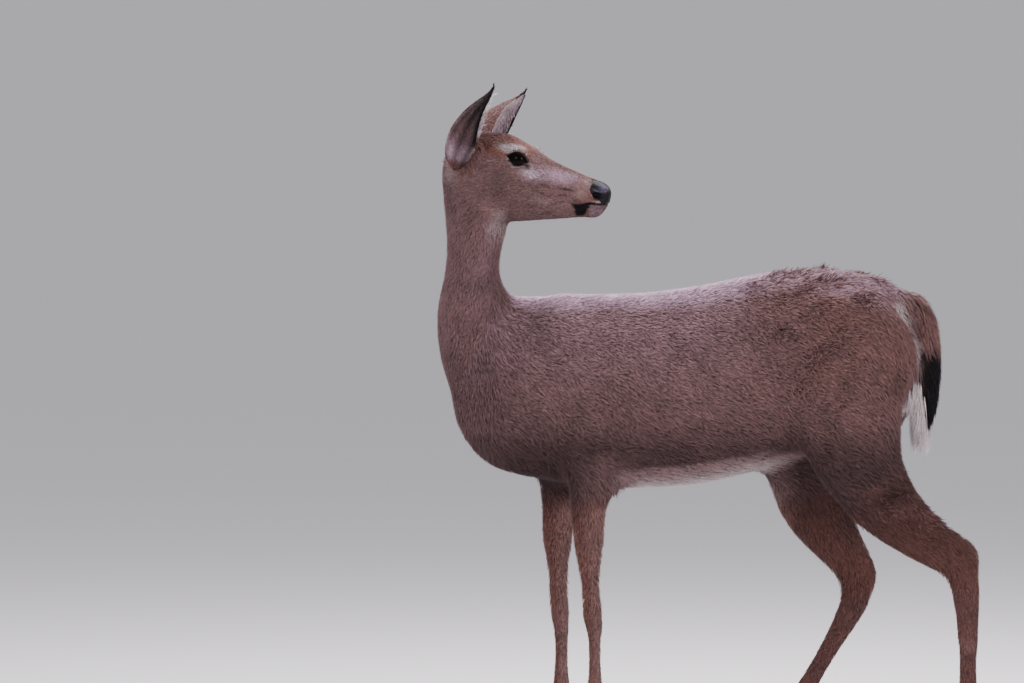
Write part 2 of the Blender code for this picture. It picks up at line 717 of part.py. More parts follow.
def build():
    clear_scene()
    coat = material("coat", (0.235, 0.150, 0.115), 0.85)
    white_hair = material("white_hair", (0.62, 0.58, 0.55), 0.85)
    dark_hair = material("dark_hair", (0.060, 0.045, 0.042), 0.80)
    eye = material("eye", (0.012, 0.008, 0.007), 0.08)
    horn = material("horn", (0.035, 0.030, 0.028), 0.45)

    body = whole_flesh()
    part_flesh(body)
    parts = list(loose_parts(body))
    bpy.data.objects.remove(body)
    solids = {}
    for name, place in flesh_names().items():
        reach = [np.linalg.norm(points - place, axis=1).min() for points, _ in parts]
        solids[name] = parts[int(np.argmin(reach))]
    for name, (points, faces) in solids.items():
        add_object(name, points, faces, coat)

    for side, name in ((RIGHT, "right"), (LEFT, "left")):
        # The head's own right side faces -Y, because it looks backwards.
        add_object(f"eye_{name}", *closed(eye_shape(side)), eye)
        ear = add_object(f"ear_{name}", *closed(ear_shape(side)), coat)
        cut_to_flesh(ear, *solids["head"])
        keep_largest(ear, coat)

    tail = add_object("tail", *closed(tail_shape()), white_hair)
    cut_to_flesh(tail, *solids["trunk"])
    keep_largest(tail, dark_hair)

    for name, side, stations, x in legs():
        for ending, shape in claws_of(stations, side, x):
            add_object(f"{name}_{ending}", *closed(shape), horn)


def closed(shape):
    points, faces = shape
    return points, faces_out(points, faces)


def stand_on_origin():
    """Moves the deer so that the middle of its box, on the floor, is the origin."""
    solids = [obj for obj in bpy.data.objects if obj.type == "MESH"]
    points = np.array([vertex.co for obj in solids for vertex in obj.data.vertices])
    low, high = points.min(0), points.max(0)
    shift = Vector((-(low[0] + high[0]) / 2, -(low[1] + high[1]) / 2, -low[2]))
    for obj in solids:
        obj.data.transform(Matrix.Translation(shift))


build()
stand_on_origin()
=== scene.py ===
from math import atan2, cos, pi, radians, sin

import bmesh
import bpy
import numpy as np
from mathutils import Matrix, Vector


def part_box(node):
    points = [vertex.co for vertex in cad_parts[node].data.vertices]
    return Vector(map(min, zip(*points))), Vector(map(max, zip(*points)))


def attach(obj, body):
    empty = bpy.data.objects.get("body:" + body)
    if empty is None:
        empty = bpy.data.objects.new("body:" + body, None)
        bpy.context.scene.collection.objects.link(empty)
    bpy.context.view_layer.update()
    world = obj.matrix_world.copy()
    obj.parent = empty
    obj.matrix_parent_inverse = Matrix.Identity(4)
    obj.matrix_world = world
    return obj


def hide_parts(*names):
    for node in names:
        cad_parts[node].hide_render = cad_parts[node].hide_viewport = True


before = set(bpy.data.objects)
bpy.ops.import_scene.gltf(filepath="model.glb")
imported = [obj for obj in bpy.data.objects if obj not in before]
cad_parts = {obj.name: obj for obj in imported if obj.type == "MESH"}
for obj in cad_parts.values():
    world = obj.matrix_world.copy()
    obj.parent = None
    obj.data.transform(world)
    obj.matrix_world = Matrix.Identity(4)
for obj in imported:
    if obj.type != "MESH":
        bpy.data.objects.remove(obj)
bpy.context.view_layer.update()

# ------------------------------------------------------------------------------ the studio
# A plain pale floor without an end, a pale sky all round, and large soft lamps: one from above and
# behind, which lights the line of the back, one from the front left and a weak one from the right.

FLOOR_REACH = 400.0
FLOOR_COLOUR = (0.78, 0.75, 0.76, 1.0)
SKY_COLOUR = (0.86, 0.87, 0.93, 1.0)
SKY_STRENGTH = 0.72
CAMERA_PLACE = (4.79744850, -19.33645190, 1.64976775)
CAMERA_TURN = (radians(87.5), 0.0, radians(15.0))
CAMERA_LENS = 374.0026594744681


class Wire:
    """One output of a shader node, with arithmetic written as it is on paper."""

    def __init__(self, tree, socket=None):
        self.tree, self.socket = tree, socket

    def node(self, kind, inputs=(), **settings):
        """Adds any other node, joins its inputs and gives back its first live output."""
        made = self.tree.nodes.new(kind)
        for name, value in settings.items():
            setattr(made, name, value)
        for name, value in dict(inputs).items():
            if isinstance(value, Wire):
                self.tree.links.new(value.socket, made.inputs[name])
            else:
                made.inputs[name].default_value = value
        return Wire(self.tree, next(output for output in made.outputs if output.enabled))

    def output(self, name):
        """Another output of the same node."""
        return Wire(self.tree, self.socket.node.outputs[name])

    def maths(self, operation, other):
        return self.node("ShaderNodeMath", {0: self, 1: other}, operation=operation)

    def __add__(self, other):
        return self.maths("ADD", other)

    def __sub__(self, other):
        return self.maths("SUBTRACT", other)

    def __rsub__(self, other):
        return self * -1.0 + other

    def __mul__(self, other):
        return self.maths("MULTIPLY", other)

    def __pow__(self, other):
        return self.maths("POWER", other)

    __radd__, __rmul__ = __add__, __mul__

    def ramp(self, low, high):
        """0 below low, 1 above high, and a smooth climb between."""
        inputs = {"Value": self, "From Min": low, "From Max": high}
        return self.node("ShaderNodeMapRange", inputs, interpolation_type="SMOOTHSTEP")

    def mix(self, first, second):
        """The colour that goes from first at 0 to second at 1."""
        return self.node("ShaderNodeMix", {0: self, 6: first, 7: second}, data_type="RGBA")


class Finish:
    """A material under way: its Principled shader and what may be wired to it."""

    def __init__(self, name, **constants):
        self.material = bpy.data.materials.new(name)
        self.material.use_nodes = True
        self.tree = self.material.node_tree
        self.shader = self.tree.nodes["Principled BSDF"]
        for socket, value in constants.items():
            self.shader.inputs[socket.replace("_", " ")].default_value = value
        self.start = Wire(self.tree)

    def places(self, stretch=(1.0, 1.0, 1.0)):
        """Object coordinates, drawn out along the axes."""
        coordinates = self.start.node("ShaderNodeTexCoord").output("Object")
        return self.start.node("ShaderNodeMapping", {"Vector": coordinates, "Scale": stretch})

    def noise(self, scale, detail=2.0, stretch=(1.0, 1.0, 1.0)):
        """Soft noise between 0 and 1, with scale features to the metre."""
        inputs = {"Vector": self.places(stretch), "Scale": scale, "Detail": detail, "Roughness": 0.55}
        return self.start.node("ShaderNodeTexNoise", inputs)

    def cells(self, scale):
        """Distance to the nearest of many scattered points."""
        return self.start.node("ShaderNodeTexVoronoi", {"Vector": self.places(), "Scale": scale})

    def attribute(self, name):
        """The red, green, blue and alpha of a colour attribute, as four wires."""
        colour = self.start.node("ShaderNodeAttribute", attribute_name=name)
        red = self.start.node("ShaderNodeSeparateColor", {0: colour})
        return red, red.output("Green"), red.output("Blue"), colour.output("Alpha")

    def bump(self, height, strength, distance):
        """Wires a height to the shader's normal: 1 stands as far out as the distance in metres."""
        inputs = {"Height": height, "Strength": strength, "Distance": distance}
        self.wire("Normal", self.start.node("ShaderNodeBump", inputs))

    def wire(self, socket, value):
        self.tree.links.new(value.socket, self.shader.inputs[socket])


def smooth(mesh):
    """Shades every face without an edge to its neighbours."""
    mesh.polygons.foreach_set("use_smooth", np.ones(len(mesh.polygons), dtype=bool))


def mesh_from(name, places, faces):
    """A mesh from an array of corners and one of faces, all with the same number of corners."""
    mesh = bpy.data.meshes.new(name)
    faces = np.asarray(faces)
    count, sides = faces.shape
    mesh.vertices.add(len(places))
    mesh.vertices.foreach_set("co", np.asarray(places, dtype=np.float32).ravel())
    mesh.loops.add(count * sides)
    mesh.loops.foreach_set("vertex_index", faces.astype(np.int32).ravel())
    mesh.polygons.add(count)
    mesh.polygons.foreach_set("loop_start", np.arange(0, count * sides, sides, dtype=np.int32))
    mesh.update(calc_edges=True)
    mesh.validate()
    smooth(mesh)
    return mesh


def shown(name, mesh, material=None):
    """An object at the origin with this mesh, linked to the scene."""
    piece = bpy.data.objects.new(name, mesh)
    bpy.context.scene.collection.objects.link(piece)
    if material is not None:
        mesh.materials.clear()
        mesh.materials.append(material)
    return piece


floor_finish = Finish("pale_floor", Base_Color=FLOOR_COLOUR, Roughness=0.9)
grain = floor_finish.noise(3.0)
floor_finish.wire("Roughness", grain.ramp(0.0, 1.0) * 0.1 + 0.82)
floor_corners = FLOOR_REACH * np.array([(-1, -1, 0), (1, -1, 0), (1, 1, 0), (-1, 1, 0)])
floor = shown("floor", mesh_from("floor", floor_corners, [(0, 1, 2, 3)]), floor_finish.material)

sky = bpy.data.worlds.new("studio")
sky.use_nodes = True
background = sky.node_tree.nodes["Background"]
background.inputs["Color"].default_value = SKY_COLOUR
background.inputs["Strength"].default_value = SKY_STRENGTH
bpy.context.scene.world = sky


def lamp(name, place, aim, size, power, colour):
    """A round soft lamp at a place, turned towards its aim."""
    light = bpy.data.lights.new(name, "AREA")
    light.shape = "DISK"
    light.size = size
    light.energy = power
    light.color = colour
    holder = bpy.data.objects.new(name, light)
    bpy.context.scene.collection.objects.link(holder)
    away = np.subtract(place, aim)
    level = float(np.hypot(away[0], away[1]))
    holder.location = place
    holder.rotation_euler = (atan2(level, away[2]), 0.0, atan2(away[0], -away[1]))


lamp("lamp_above", (0.3, 0.9, 3.6), (0.0, 0.0, 0.8), 2.6, 320.0, (1.0, 0.96, 1.0))
lamp("lamp_front", (-1.4, -3.8, 2.4), (-0.1, 0.0, 0.8), 2.4, 105.0, (1.0, 0.97, 0.96))
lamp("lamp_right", (3.4, -1.8, 1.8), (0.0, 0.0, 0.8), 1.8, 80.0, (1.0, 0.96, 0.94))

camera = bpy.data.cameras.new("camera")
camera.lens = CAMERA_LENS
camera.sensor_width = 36.0
camera.clip_start = 0.5
camera.clip_end = 1000.0
viewpoint = bpy.data.objects.new("camera", camera)
viewpoint.location = CAMERA_PLACE
viewpoint.rotation_euler = CAMERA_TURN
bpy.context.scene.collection.objects.link(viewpoint)
bpy.context.scene.camera = viewpoint

# ------------------------------------------------------------------------------ the skin
# One skin over the head, neck, trunk, tail and legs. The solids of flesh are swollen a little so
# that they run together, made one surface of small squares, smoothed, made finer over the head, and
# let in by the depth of the coat at each place.

LEGS = ("foreleg_left", "foreleg_right", "hindleg_left", "hindleg_right")
PARTS = ("head", "neck", "trunk", "tail", *(f"{leg}_{end}" for leg in LEGS for end in ("upper", "lower")))
SWELL = 0.0012
BODY_SQUARE = 0.0074
HEAD_SQUARE = 0.0022
# how far the head's own level dips below the frame's, and the eye's size and place in the head
NOSE_DOWN = radians(10.0)
EYE_RADIUS = 0.0185
EYE_IN_HEAD = np.array((-0.0055, 0.0385, 0.0440))
COAT_DEPTH = {"head": 0.002, "neck": 0.0075, "trunk": 0.008, "tail": 0.008, "upper": 0.006, "lower": 0.0028}
# hollows of the body: from one place to another, as x and z, then how deep and how wide
HOLLOWS = (
    ((-0.205, 0.86), (-0.175, 0.62), 0.0050, 0.030),
    ((-0.335, 0.93), (-0.375, 0.70), 0.0050, 0.018),
    ((0.110, 0.80), (0.125, 0.62), 0.0075, 0.048),
    ((0.215, 0.86), (0.300, 0.74), 0.0045, 0.017),
    ((0.285, 0.72), (0.235, 0.56), 0.0050, 0.016),
    ((-0.285, 0.66), (-0.215, 0.585), 0.0050, 0.014),
)
# the notch where the back of the neck meets the back, as x and z, and its depth
WITHERS = (-0.346, 0.884)
WITHERS_DEPTH = 0.0090
# boxes of the head and face whose squares are halved, in the head's measures: two corners of each
FINER = (
    ((-0.150, -0.085, -0.115), (0.20, 0.085, 0.12)),
    ((-0.060, -0.075, -0.095), (0.20, 0.075, 0.10)),
    ((-0.034, 0.020, 0.016), (0.030, 0.075, 0.072)),
    ((-0.034, -0.075, 0.016), (0.030, -0.020, 0.072)),
)
FOOT_TOP = 0.13
# by part, how much its surface is smoothed
SMOOTHING = {"head": 0.25, "neck": 0.9, "trunk": 1.0, "tail": 0.5, "upper": 0.6, "lower": 0.28}


def unit(vectors):
    """The same directions, each one long."""
    return vectors / np.maximum(np.linalg.norm(vectors, axis=-1, keepdims=True), 1e-12)


def soft(values, low, high):
    """0 at low, 1 at high, smooth between, whichever of the two is larger."""
    share = np.clip((values - low) / (high - low), 0.0, 1.0)
    return share * share * (3.0 - 2.0 * share)


def bell(values, middle, width):
    """1 at the middle, falling away to both sides as a bell does."""
    return np.exp(-(((values - middle) / width) ** 2))


def read(items, what, width, kind=np.float32):
    """One property of every corner, edge or triangle, a row to each."""
    flat = np.empty(len(items) * width, dtype=kind)
    items.foreach_get(what, flat)
    return flat.reshape(-1, width)


def corners_of(mesh):
    return read(mesh.vertices, "co", 3).astype(float)


def normals_of(mesh):
    return read(mesh.vertex_normals, "vector", 3).astype(float)


def edges_of(mesh):
    return read(mesh.edges, "vertices", 2, np.int32)


def put_corners(mesh, places):
    mesh.vertices.foreach_set("co", np.asarray(places, dtype=np.float32).ravel())
    mesh.update()


def solids_together(names, swell):
    """Copies of CAD nodes in one mesh, doubles merged, every corner moved out along its normal."""
    whole = bmesh.new()
    for name in names:
        part = bmesh.new()
        part.from_mesh(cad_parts[name].data)
        bmesh.ops.remove_doubles(part, verts=part.verts, dist=1e-6)
        bmesh.ops.recalc_face_normals(part, faces=part.faces)
        copy = bpy.data.meshes.new("copy")
        part.to_mesh(copy)
        part.free()
        put_corners(copy, corners_of(copy) + swell * normals_of(copy))
        whole.from_mesh(copy)
        bpy.data.meshes.remove(copy)
    mesh = bpy.data.meshes.new("solids")
    whole.to_mesh(mesh)
    whole.free()
    return mesh


def with_modifier(mesh, kind, weight=None, **settings):
    """The mesh after one modifier, as a new mesh. It acts on each corner by its weight, if given."""
    holder = bpy.data.objects.new("holder", mesh)
    bpy.context.scene.collection.objects.link(holder)
    modifier = holder.modifiers.new("step", kind)
    for name, value in settings.items():
        setattr(modifier, name, value)
    if weight is not None:
        group = holder.vertex_groups.new(name="share")
        steps = np.round(weight * 20).astype(int)
        for step in range(1, 21):
            group.add(np.flatnonzero(steps == step).tolist(), step / 20, "REPLACE")
        modifier.vertex_group = "share"
    graph = bpy.context.evaluated_depsgraph_get()
    result = bpy.data.meshes.new_from_object(holder.evaluated_get(graph))
    bpy.data.objects.remove(holder)
    return result


def relaxed(values, ends, rounds, strength=0.5):
    """Each corner's value moves towards the mean of its neighbours', round after round."""
    count = np.maximum(np.bincount(ends.ravel(), minlength=len(values)), 1)[:, None]
    for _ in range(rounds):
        total = np.zeros_like(values)
        for axis in range(values.shape[1]):
            column = values[:, axis]
            total[:, axis] += np.bincount(ends[:, 0], column[ends[:, 1]], len(values))
            total[:, axis] += np.bincount(ends[:, 1], column[ends[:, 0]], len(values))
        values = values + strength * (total / count - values)
    return values


def from_line(points, first, last):
    """Seen from the side, the distance of points from a stretch between two, and the share along it."""
    points, first, last = points[:, [0, 2]], np.array(first), np.array(last)
    share = np.clip((points - first) @ (last - first) / ((last - first) @ (last - first)), 0, 1)
    return np.linalg.norm(points - first - share[:, None] * (last - first), axis=1), share


def nearest_part(places):
    """The number in PARTS of the CAD node whose corner is nearest to each place."""
    corners = [corners_of(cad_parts[name].data).astype(np.float32) for name in PARTS]
    owner = np.repeat(np.arange(len(PARTS)), [len(part) for part in corners])
    corners = np.vstack(corners)
    corners, first = np.unique(np.round(corners, 5), axis=0, return_index=True)
    owner = owner[first]
    found = np.empty(len(places), dtype=int)
    squares = (corners**2).sum(axis=1)
    for start in range(0, len(places), 4096):
        block = places[start : start + 4096].astype(np.float32)
        found[start : start + 4096] = owner[np.argmin(squares - 2.0 * block @ corners.T, axis=1)]
    return found


def by_part(table, name):
    """A part's entry, which upper legs share and lower legs share."""
    return table[name if name in table else name.rsplit("_", 1)[1]]


def of_part(table, numbers):
    """A value for each corner from a table by part."""
    return np.array([by_part(table, name) for name in PARTS])[numbers]


# the head's own axes, from the places of the eyes
EYES = ("eye_right", "eye_left")
right_eye, left_eye = (np.mean(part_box(name), axis=0) for name in EYES)
upward = np.array((0.0, 0.0, 1.0))
rightward = unit(right_eye - left_eye)
level_forward = np.cross(upward, rightward)
forward = cos(NOSE_DOWN) * level_forward - sin(NOSE_DOWN) * upward
crownward = np.cross(rightward, forward)
head_turn = np.array((forward, rightward, crownward))
head_centre = (right_eye + left_eye) / 2 - EYE_IN_HEAD * (1, 0, 1) @ head_turn


def in_head(places):
    """Places measured from the head's centre: forward to the nose, to its right, and to its crown."""
    return (places - head_centre) @ head_turn.T


def out_of_head(places):
    return np.asarray(places) @ head_turn + head_centre


def mirrored(place, side):
    """A place in the head's measures on the right for side 1, on the left for -1."""
    return np.multiply(place, (1, side, 1))


body = with_modifier(solids_together(PARTS + EYES, SWELL), "REMESH", mode="VOXEL", voxel_size=BODY_SQUARE)
body_places = corners_of(body)
part = nearest_part(body_places)
put_corners(body, relaxed(body_places, edges_of(body), 18, 0.6 * of_part(SMOOTHING, part)[:, None]))

# more smoothing where the legs part
_, across, height = corners_of(body).T
crotch = soft(height, 0.40, 0.47) * soft(height, 0.64, 0.57) * soft(np.abs(across - 0.05), 0.095, 0.07)
put_corners(body, relaxed(corners_of(body), edges_of(body), 40, 0.5 * crotch[:, None]))

# the head, the face and the surroundings of the eyes are made finer in steps, and the feet once
shaping = bmesh.new()
shaping.from_mesh(body)
for step, (low, high) in enumerate(FINER):
    finer_places = np.array([corner.co for corner in shaping.verts])
    inside = ((in_head(finer_places) > low) & (in_head(finer_places) < high)).all(axis=1)
    if step == 0:
        inside |= finer_places[:, 2] < FOOT_TOP
    shaping.edges.index_update()
    chosen = [edge for edge in shaping.edges if inside[edge.verts[0].index] and inside[edge.verts[1].index]]
    bmesh.ops.subdivide_edges(shaping, edges=chosen, cuts=1, use_grid_fill=True)
    shaping.verts.index_update()
bmesh.ops.triangulate(shaping, faces=[face for face in shaping.faces if len(face.verts) > 4])
skin_mesh = bpy.data.meshes.new("skin")
shaping.to_mesh(skin_mesh)
shaping.free()

# a finer surface of the head and lower legs, onto which the skin is drawn there
fine_solids = solids_together(("head", "neck", *EYES, *(f"{leg}_lower" for leg in LEGS)), SWELL)
head_form = with_modifier(fine_solids, "REMESH", mode="VOXEL", voxel_size=HEAD_SQUARE)
put_corners(head_form, relaxed(corners_of(head_form), edges_of(head_form), 14, 0.5))
head_target = shown("head_form", head_form)
inner = in_head(corners_of(skin_mesh))
drawn = soft(inner[:, 0] - 0.25 * inner[:, 2], -0.135, -0.095) * soft(inner[:, 2], -0.112, -0.085)
drawn *= (np.abs(inner) < (0.22, 0.12, 0.14)).all(axis=1)
drawn = np.maximum(drawn, soft(corners_of(skin_mesh)[:, 2], 0.20, 0.13))
nearest = {"target": head_target, "wrap_method": "NEAREST_SURFACEPOINT"}
skin_mesh = with_modifier(skin_mesh, "SHRINKWRAP", drawn, **nearest)
bpy.data.objects.remove(head_target)

# let in by the depth of the coat, less over face and feet, and by the hollows of the body
places = corners_of(skin_mesh)
ends = edges_of(skin_mesh)
part = nearest_part(places)
in_face = soft(in_head(places)[:, 0], -0.13, -0.06) * (part == PARTS.index("head"))
places = relaxed(places, ends, 4, 0.5)
put_corners(skin_mesh, places)
depth = relaxed(of_part(COAT_DEPTH, part)[:, None], ends, 30, 0.5)
depth -= 0.0011 * soft(in_head(places)[:, 0], 0.05, 0.14)[:, None] * in_face[:, None]
depth *= 1 - 0.65 * soft(places[:, 2:], 0.16, 0.11)
dewclaws = [np.mean(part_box(f"{leg}_dewclaw_{end}"), axis=0) for leg in LEGS for end in ("inner", "outer")]
for middle in dewclaws:
    depth *= 1 - 1.4 * soft(np.linalg.norm(places - middle, axis=1), 0.026, 0.014)[:, None]
normals = normals_of(skin_mesh)
sunk = np.zeros(len(places))
for start, end, deep, wide in HOLLOWS:
    sunk += deep * bell(from_line(places, start, end)[0], 0.0, wide)
not_tail = part != PARTS.index("tail")
sunk *= soft(np.abs(normals[:, 1]), 0.25, 0.7) * soft(places[:, 2], 0.50, 0.56) * not_tail
sunk *= soft(in_head(places)[:, 2], -0.13, -0.18)
to_withers = np.linalg.norm(places[:, [0, 2]] - WITHERS, axis=1)
sunk += WITHERS_DEPTH * bell(to_withers, 0.0, 0.024) * soft(normals[:, 2], 0.0, 0.5)
places = places - (depth + SWELL + sunk[:, None]) * normals

# ------------------------------------------------------------------------------ the face
# The face is worked into the skin: lids round each eye, the slit of the scent gland before it, the
# nostrils, the lips with the mouth closed, and the groove under the nose. Places are in the head's
# measures: ahead, to the side and above, or ahead and above alone for what is seen from the side.

LID_THICKNESS = 0.0017
LID_RIM = 0.0012
SOCKET_DEPTH = 0.005
# the way the right eye looks, and how far the line between its corners dips towards the nose
EYE_LOOKS = (0.17, 0.97, 0.08)
EYE_TILT = radians(9.0)
# the opening between the lids: half its length, and its height above and below the eye's middle
OPENING = (radians(68.0), radians(38.0), radians(34.0))
GLAND = ((0.0125, 0.0395), (0.0270, 0.0285))
GLAND_DEPTH = 0.0022
NOSTRIL = (0.1525, 0.0165, 0.0042)
NOSTRIL_REACH = np.array((0.0095, 0.0075, 0.0052))
NOSTRIL_SLIT = ((0.1480, 0.0060), (0.1425, 0.0125))
NOSTRIL_WING = ((0.1500, 0.0185, 0.0050), (0.011, 0.007, 0.008))
# the mouth's line: its rear corner, its rise for each metre ahead, and its bends
LIP_CORNER = (0.1055, -0.0180)
LIP_RISE = 0.165
LIP_BEND = (
    (0.098, 0.104, 0.111, 0.119, 0.128, 0.141, 0.156, 0.170),
    (0.002, -0.001, -0.0045, -0.0048, -0.0038, 0.0, -0.0018, -0.0024),
)
# swellings of the jaw and lip: middle, reach and height
FORMS = (
    ((-0.045, 0.048, -0.022), (0.030, 0.05, 0.026), 0.0028),
    ((0.118, 0.028, -0.004), (0.016, 0.03, 0.012), 0.0014),
)
# grooves of the cheek, jaw and muzzle: from one place to another, then how deep and how wide
GROOVES = (
    ((0.022, 0.0080), (0.075, -0.0060), 0.0018, 0.0070),
    ((-0.088, 0.0000), (-0.070, -0.0600), 0.0022, 0.0075),
    ((-0.020, -0.0480), (0.060, -0.0400), 0.0012, 0.0050),
    ((0.030, 0.0420), (0.100, 0.0260), 0.0010, 0.0050),
)
# creases of the muzzle and cheek, each from one place to another
FOLDS = (
    ((0.074, 0.0060), (0.114, 0.0030)),
    ((0.080, -0.0050), (0.104, -0.0100)),
    ((0.026, 0.0150), (0.072, -0.0010)),
    ((0.030, -0.0040), (0.078, -0.0200)),
    ((0.098, -0.0160), (0.060, -0.0330)),
)
CREASE_DEPTH = 0.0015


def eye_axes(side):
    """In the head's measures: the way the eye looks, the way to its inner corner, and upwards."""
    looks = unit(mirrored(EYE_LOOKS, side))
    corner = np.array((cos(EYE_TILT), 0.0, -sin(EYE_TILT)))
    corner = unit(corner - corner.dot(looks) * looks)
    lift = np.cross(looks, corner) * side
    return looks, corner, lift * np.sign(lift[2])


def lid_edge(along):
    """Heights of the upper and lower lid's edge above the eye's middle, as angles, for angles along
    the opening. Each is an arch that comes down to nothing at the two corners."""
    length, top, bottom = OPENING
    share = np.clip(np.abs(along) / length, 0, 1)
    return top * (1 - share**2.1) ** 0.72, -bottom * (1 - share**2.0) ** 0.80


def inside_lids(along, over):
    """How far a direction lies inside the opening, as an angle: negative outside it."""
    top, bottom = lid_edge(along)
    past = np.maximum(np.abs(along) - OPENING[0], 0)
    inside = np.minimum(top - over, over - bottom)
    return np.where(past > 0, -np.hypot(past, over), inside)


def lip_height(ahead):
    """Height of the closed mouth's line for distances forward."""
    return LIP_CORNER[1] + (ahead - LIP_CORNER[0]) * LIP_RISE + np.interp(ahead, *LIP_BEND)


inner = in_head(places)
for side in (1, -1):
    looks, corner, lift = eye_axes(side)
    from_eye = inner - mirrored(EYE_IN_HEAD, side)
    away = np.linalg.norm(from_eye, axis=1)
    out = from_eye @ looks
    along, above = np.arctan2(from_eye @ corner, out), np.arctan2(from_eye @ lift, out)
    near = soft(out / away, 0.05, 0.30) * soft(away, EYE_RADIUS + 0.014, EYE_RADIUS + 0.007)
    lid = EYE_RADIUS + LID_THICKNESS
    raised = away + np.maximum(lid - away, 0) + LID_RIM * bell(away, lid, 0.002)
    inside = inside_lids(along, above)
    raised += 0.0007 * bell(inside, radians(-4), radians(3.5))
    raised -= 0.0010 * bell(inside, radians(-15), radians(3.5)) * np.where(above > 0, 1.0, 0.55)
    raised += 0.0011 * bell(inside, radians(-24), radians(7)) * (above > 0)
    opened = soft(inside, radians(-0.5), radians(5.5))
    raised = raised * (1 - opened) + (EYE_RADIUS - SOCKET_DEPTH) * opened
    inner += from_eye / away[:, None] * (near * (raised - away))[:, None]

    before_eye = (inner[:, 1] * side > 0.012) & (inner[:, 0] > -0.02)
    aside, share = from_line(inner, *GLAND)
    inner[:, 1] -= side * (GLAND_DEPTH * bell(aside, 0.0, 0.0019) * (1 - 0.5 * share) * before_eye)
    hole = (inner - mirrored(NOSTRIL, side)) / NOSTRIL_REACH
    hollow = np.exp(-((hole**2).sum(axis=1) ** 1.5))
    slit = 0.0022 * bell(from_line(inner, *NOSTRIL_SLIT)[0], 0.0, 0.0016) * (inner[:, 1] * side > 0.008)
    inner[:, 0] -= 0.0060 * hollow
    inner[:, 1] -= side * (0.0075 * hollow + slit)
    for fold in FOLDS:
        aside, share = from_line(inner, *fold)
        crease = CREASE_DEPTH * bell(aside, 0.0, 0.0019) * np.sin(pi * share)
        inner[:, 1] -= side * (crease * (inner[:, 1] * side > 0.006))
    middle, reach = NOSTRIL_WING
    from_wing = np.linalg.norm((inner - mirrored(middle, side)) / reach, axis=1)
    inner[:, 1] += side * 0.0012 * np.exp(-((from_wing - 1.0) ** 2) * 6) * (inner[:, 0] > 0.14)

    outer_side = soft(inner[:, 1] * side, 0.012, 0.025)
    for middle, reach, rise in FORMS:
        swelling = np.exp(-(((inner - mirrored(middle, side)) / reach) ** 2).sum(axis=1))
        inner[:, 1] += side * rise * outer_side * swelling
    for start, end, deep, wide in GROOVES:
        inner[:, 1] -= side * deep * outer_side * bell(from_line(inner, start, end)[0], 0.0, wide)

at_lips = soft(inner[:, 0], 0.094, 0.104)
lips = lip_height(inner[:, 0])
seam = 0.0016 * bell(inner[:, 2], lips, 0.0015) * at_lips
below = soft(lips - inner[:, 2], 0.0, 0.003) * soft(inner[:, 2], -0.05, -0.03) * at_lips
outward = unit(inner * (0.25, 1.0, 0.0) - (0.031, 0.0, 0.0))
inner -= outward * (seam + 0.0006 * below)[:, None]
cleft = bell(inner[:, 1], 0.0, 0.0013) * soft(inner[:, 0], 0.155, 0.160) * soft(inner[:, 2], 0.010, 0.004)
inner[:, 0] -= 0.0012 * cleft
shaped = soft(in_head(places)[:, 0], -0.06, -0.05) * (part == PARTS.index("head"))
places = places + (out_of_head(inner) - places) * shaped[:, None]

# ------------------------------------------------------------------------------ the ears
# Each ear is a leaf of gristle rolled into a scoop. Its outer wall, inner wall and rim are one closed
# sheet whose root stands in the head, and it belongs to the same skin.

# side, root and tip in the head's measures, and how far the scoop is turned outwards
EARS = {
    "ear_right": (1, (-0.110, 0.0466, 0.0275), (-0.0577, 0.1050, 0.1763), radians(7.0)),
    "ear_left": (-1, (-0.111, 0.0394, 0.0288), (-0.0563, 0.1031, 0.1638), radians(15.0)),
}
EAR_WALL = 0.0024
EAR_ROWS = 52
EAR_COLUMNS = 37
# share of the length, set forward, radius, half of the angle that the wall goes round
EAR_RINGS = (
    (-0.16, -0.004, 0.010, 165.0),
    (-0.08, -0.009, 0.020, 162.0),
    (0.02, -0.012, 0.026, 158.0),
    (0.11, -0.012, 0.029, 151.0),
    (0.22, -0.011, 0.0315, 141.0),
    (0.36, -0.009, 0.032, 129.0),
    (0.52, -0.006, 0.029, 115.0),
    (0.70, 0.001, 0.022, 96.0),
    (0.84, 0.006, 0.0135, 80.0),
    (0.94, 0.005, 0.0065, 70.0),
    (1.00, 0.001, 0.0015, 65.0),
)


def eased(stations, shares):
    """Rows of a table between its stations, on curves that pass through them without a corner."""
    stations = np.array(stations, dtype=float)
    at = stations[:, 0]
    rise = np.gradient(stations, at, axis=0)
    i = np.clip(np.searchsorted(at, shares) - 1, 0, len(at) - 2)
    gap = (at[i + 1] - at[i])[:, None]
    t = ((shares - at[i]) / gap[:, 0])[:, None]
    start, end = stations[i], stations[i + 1]
    curve = (2 * t**3 - 3 * t**2 + 1) * start + (3 * t**2 - 2 * t**3) * end
    return curve + gap * ((t**3 - 2 * t**2 + t) * rise[i] + (t**3 - t**2) * rise[i + 1])


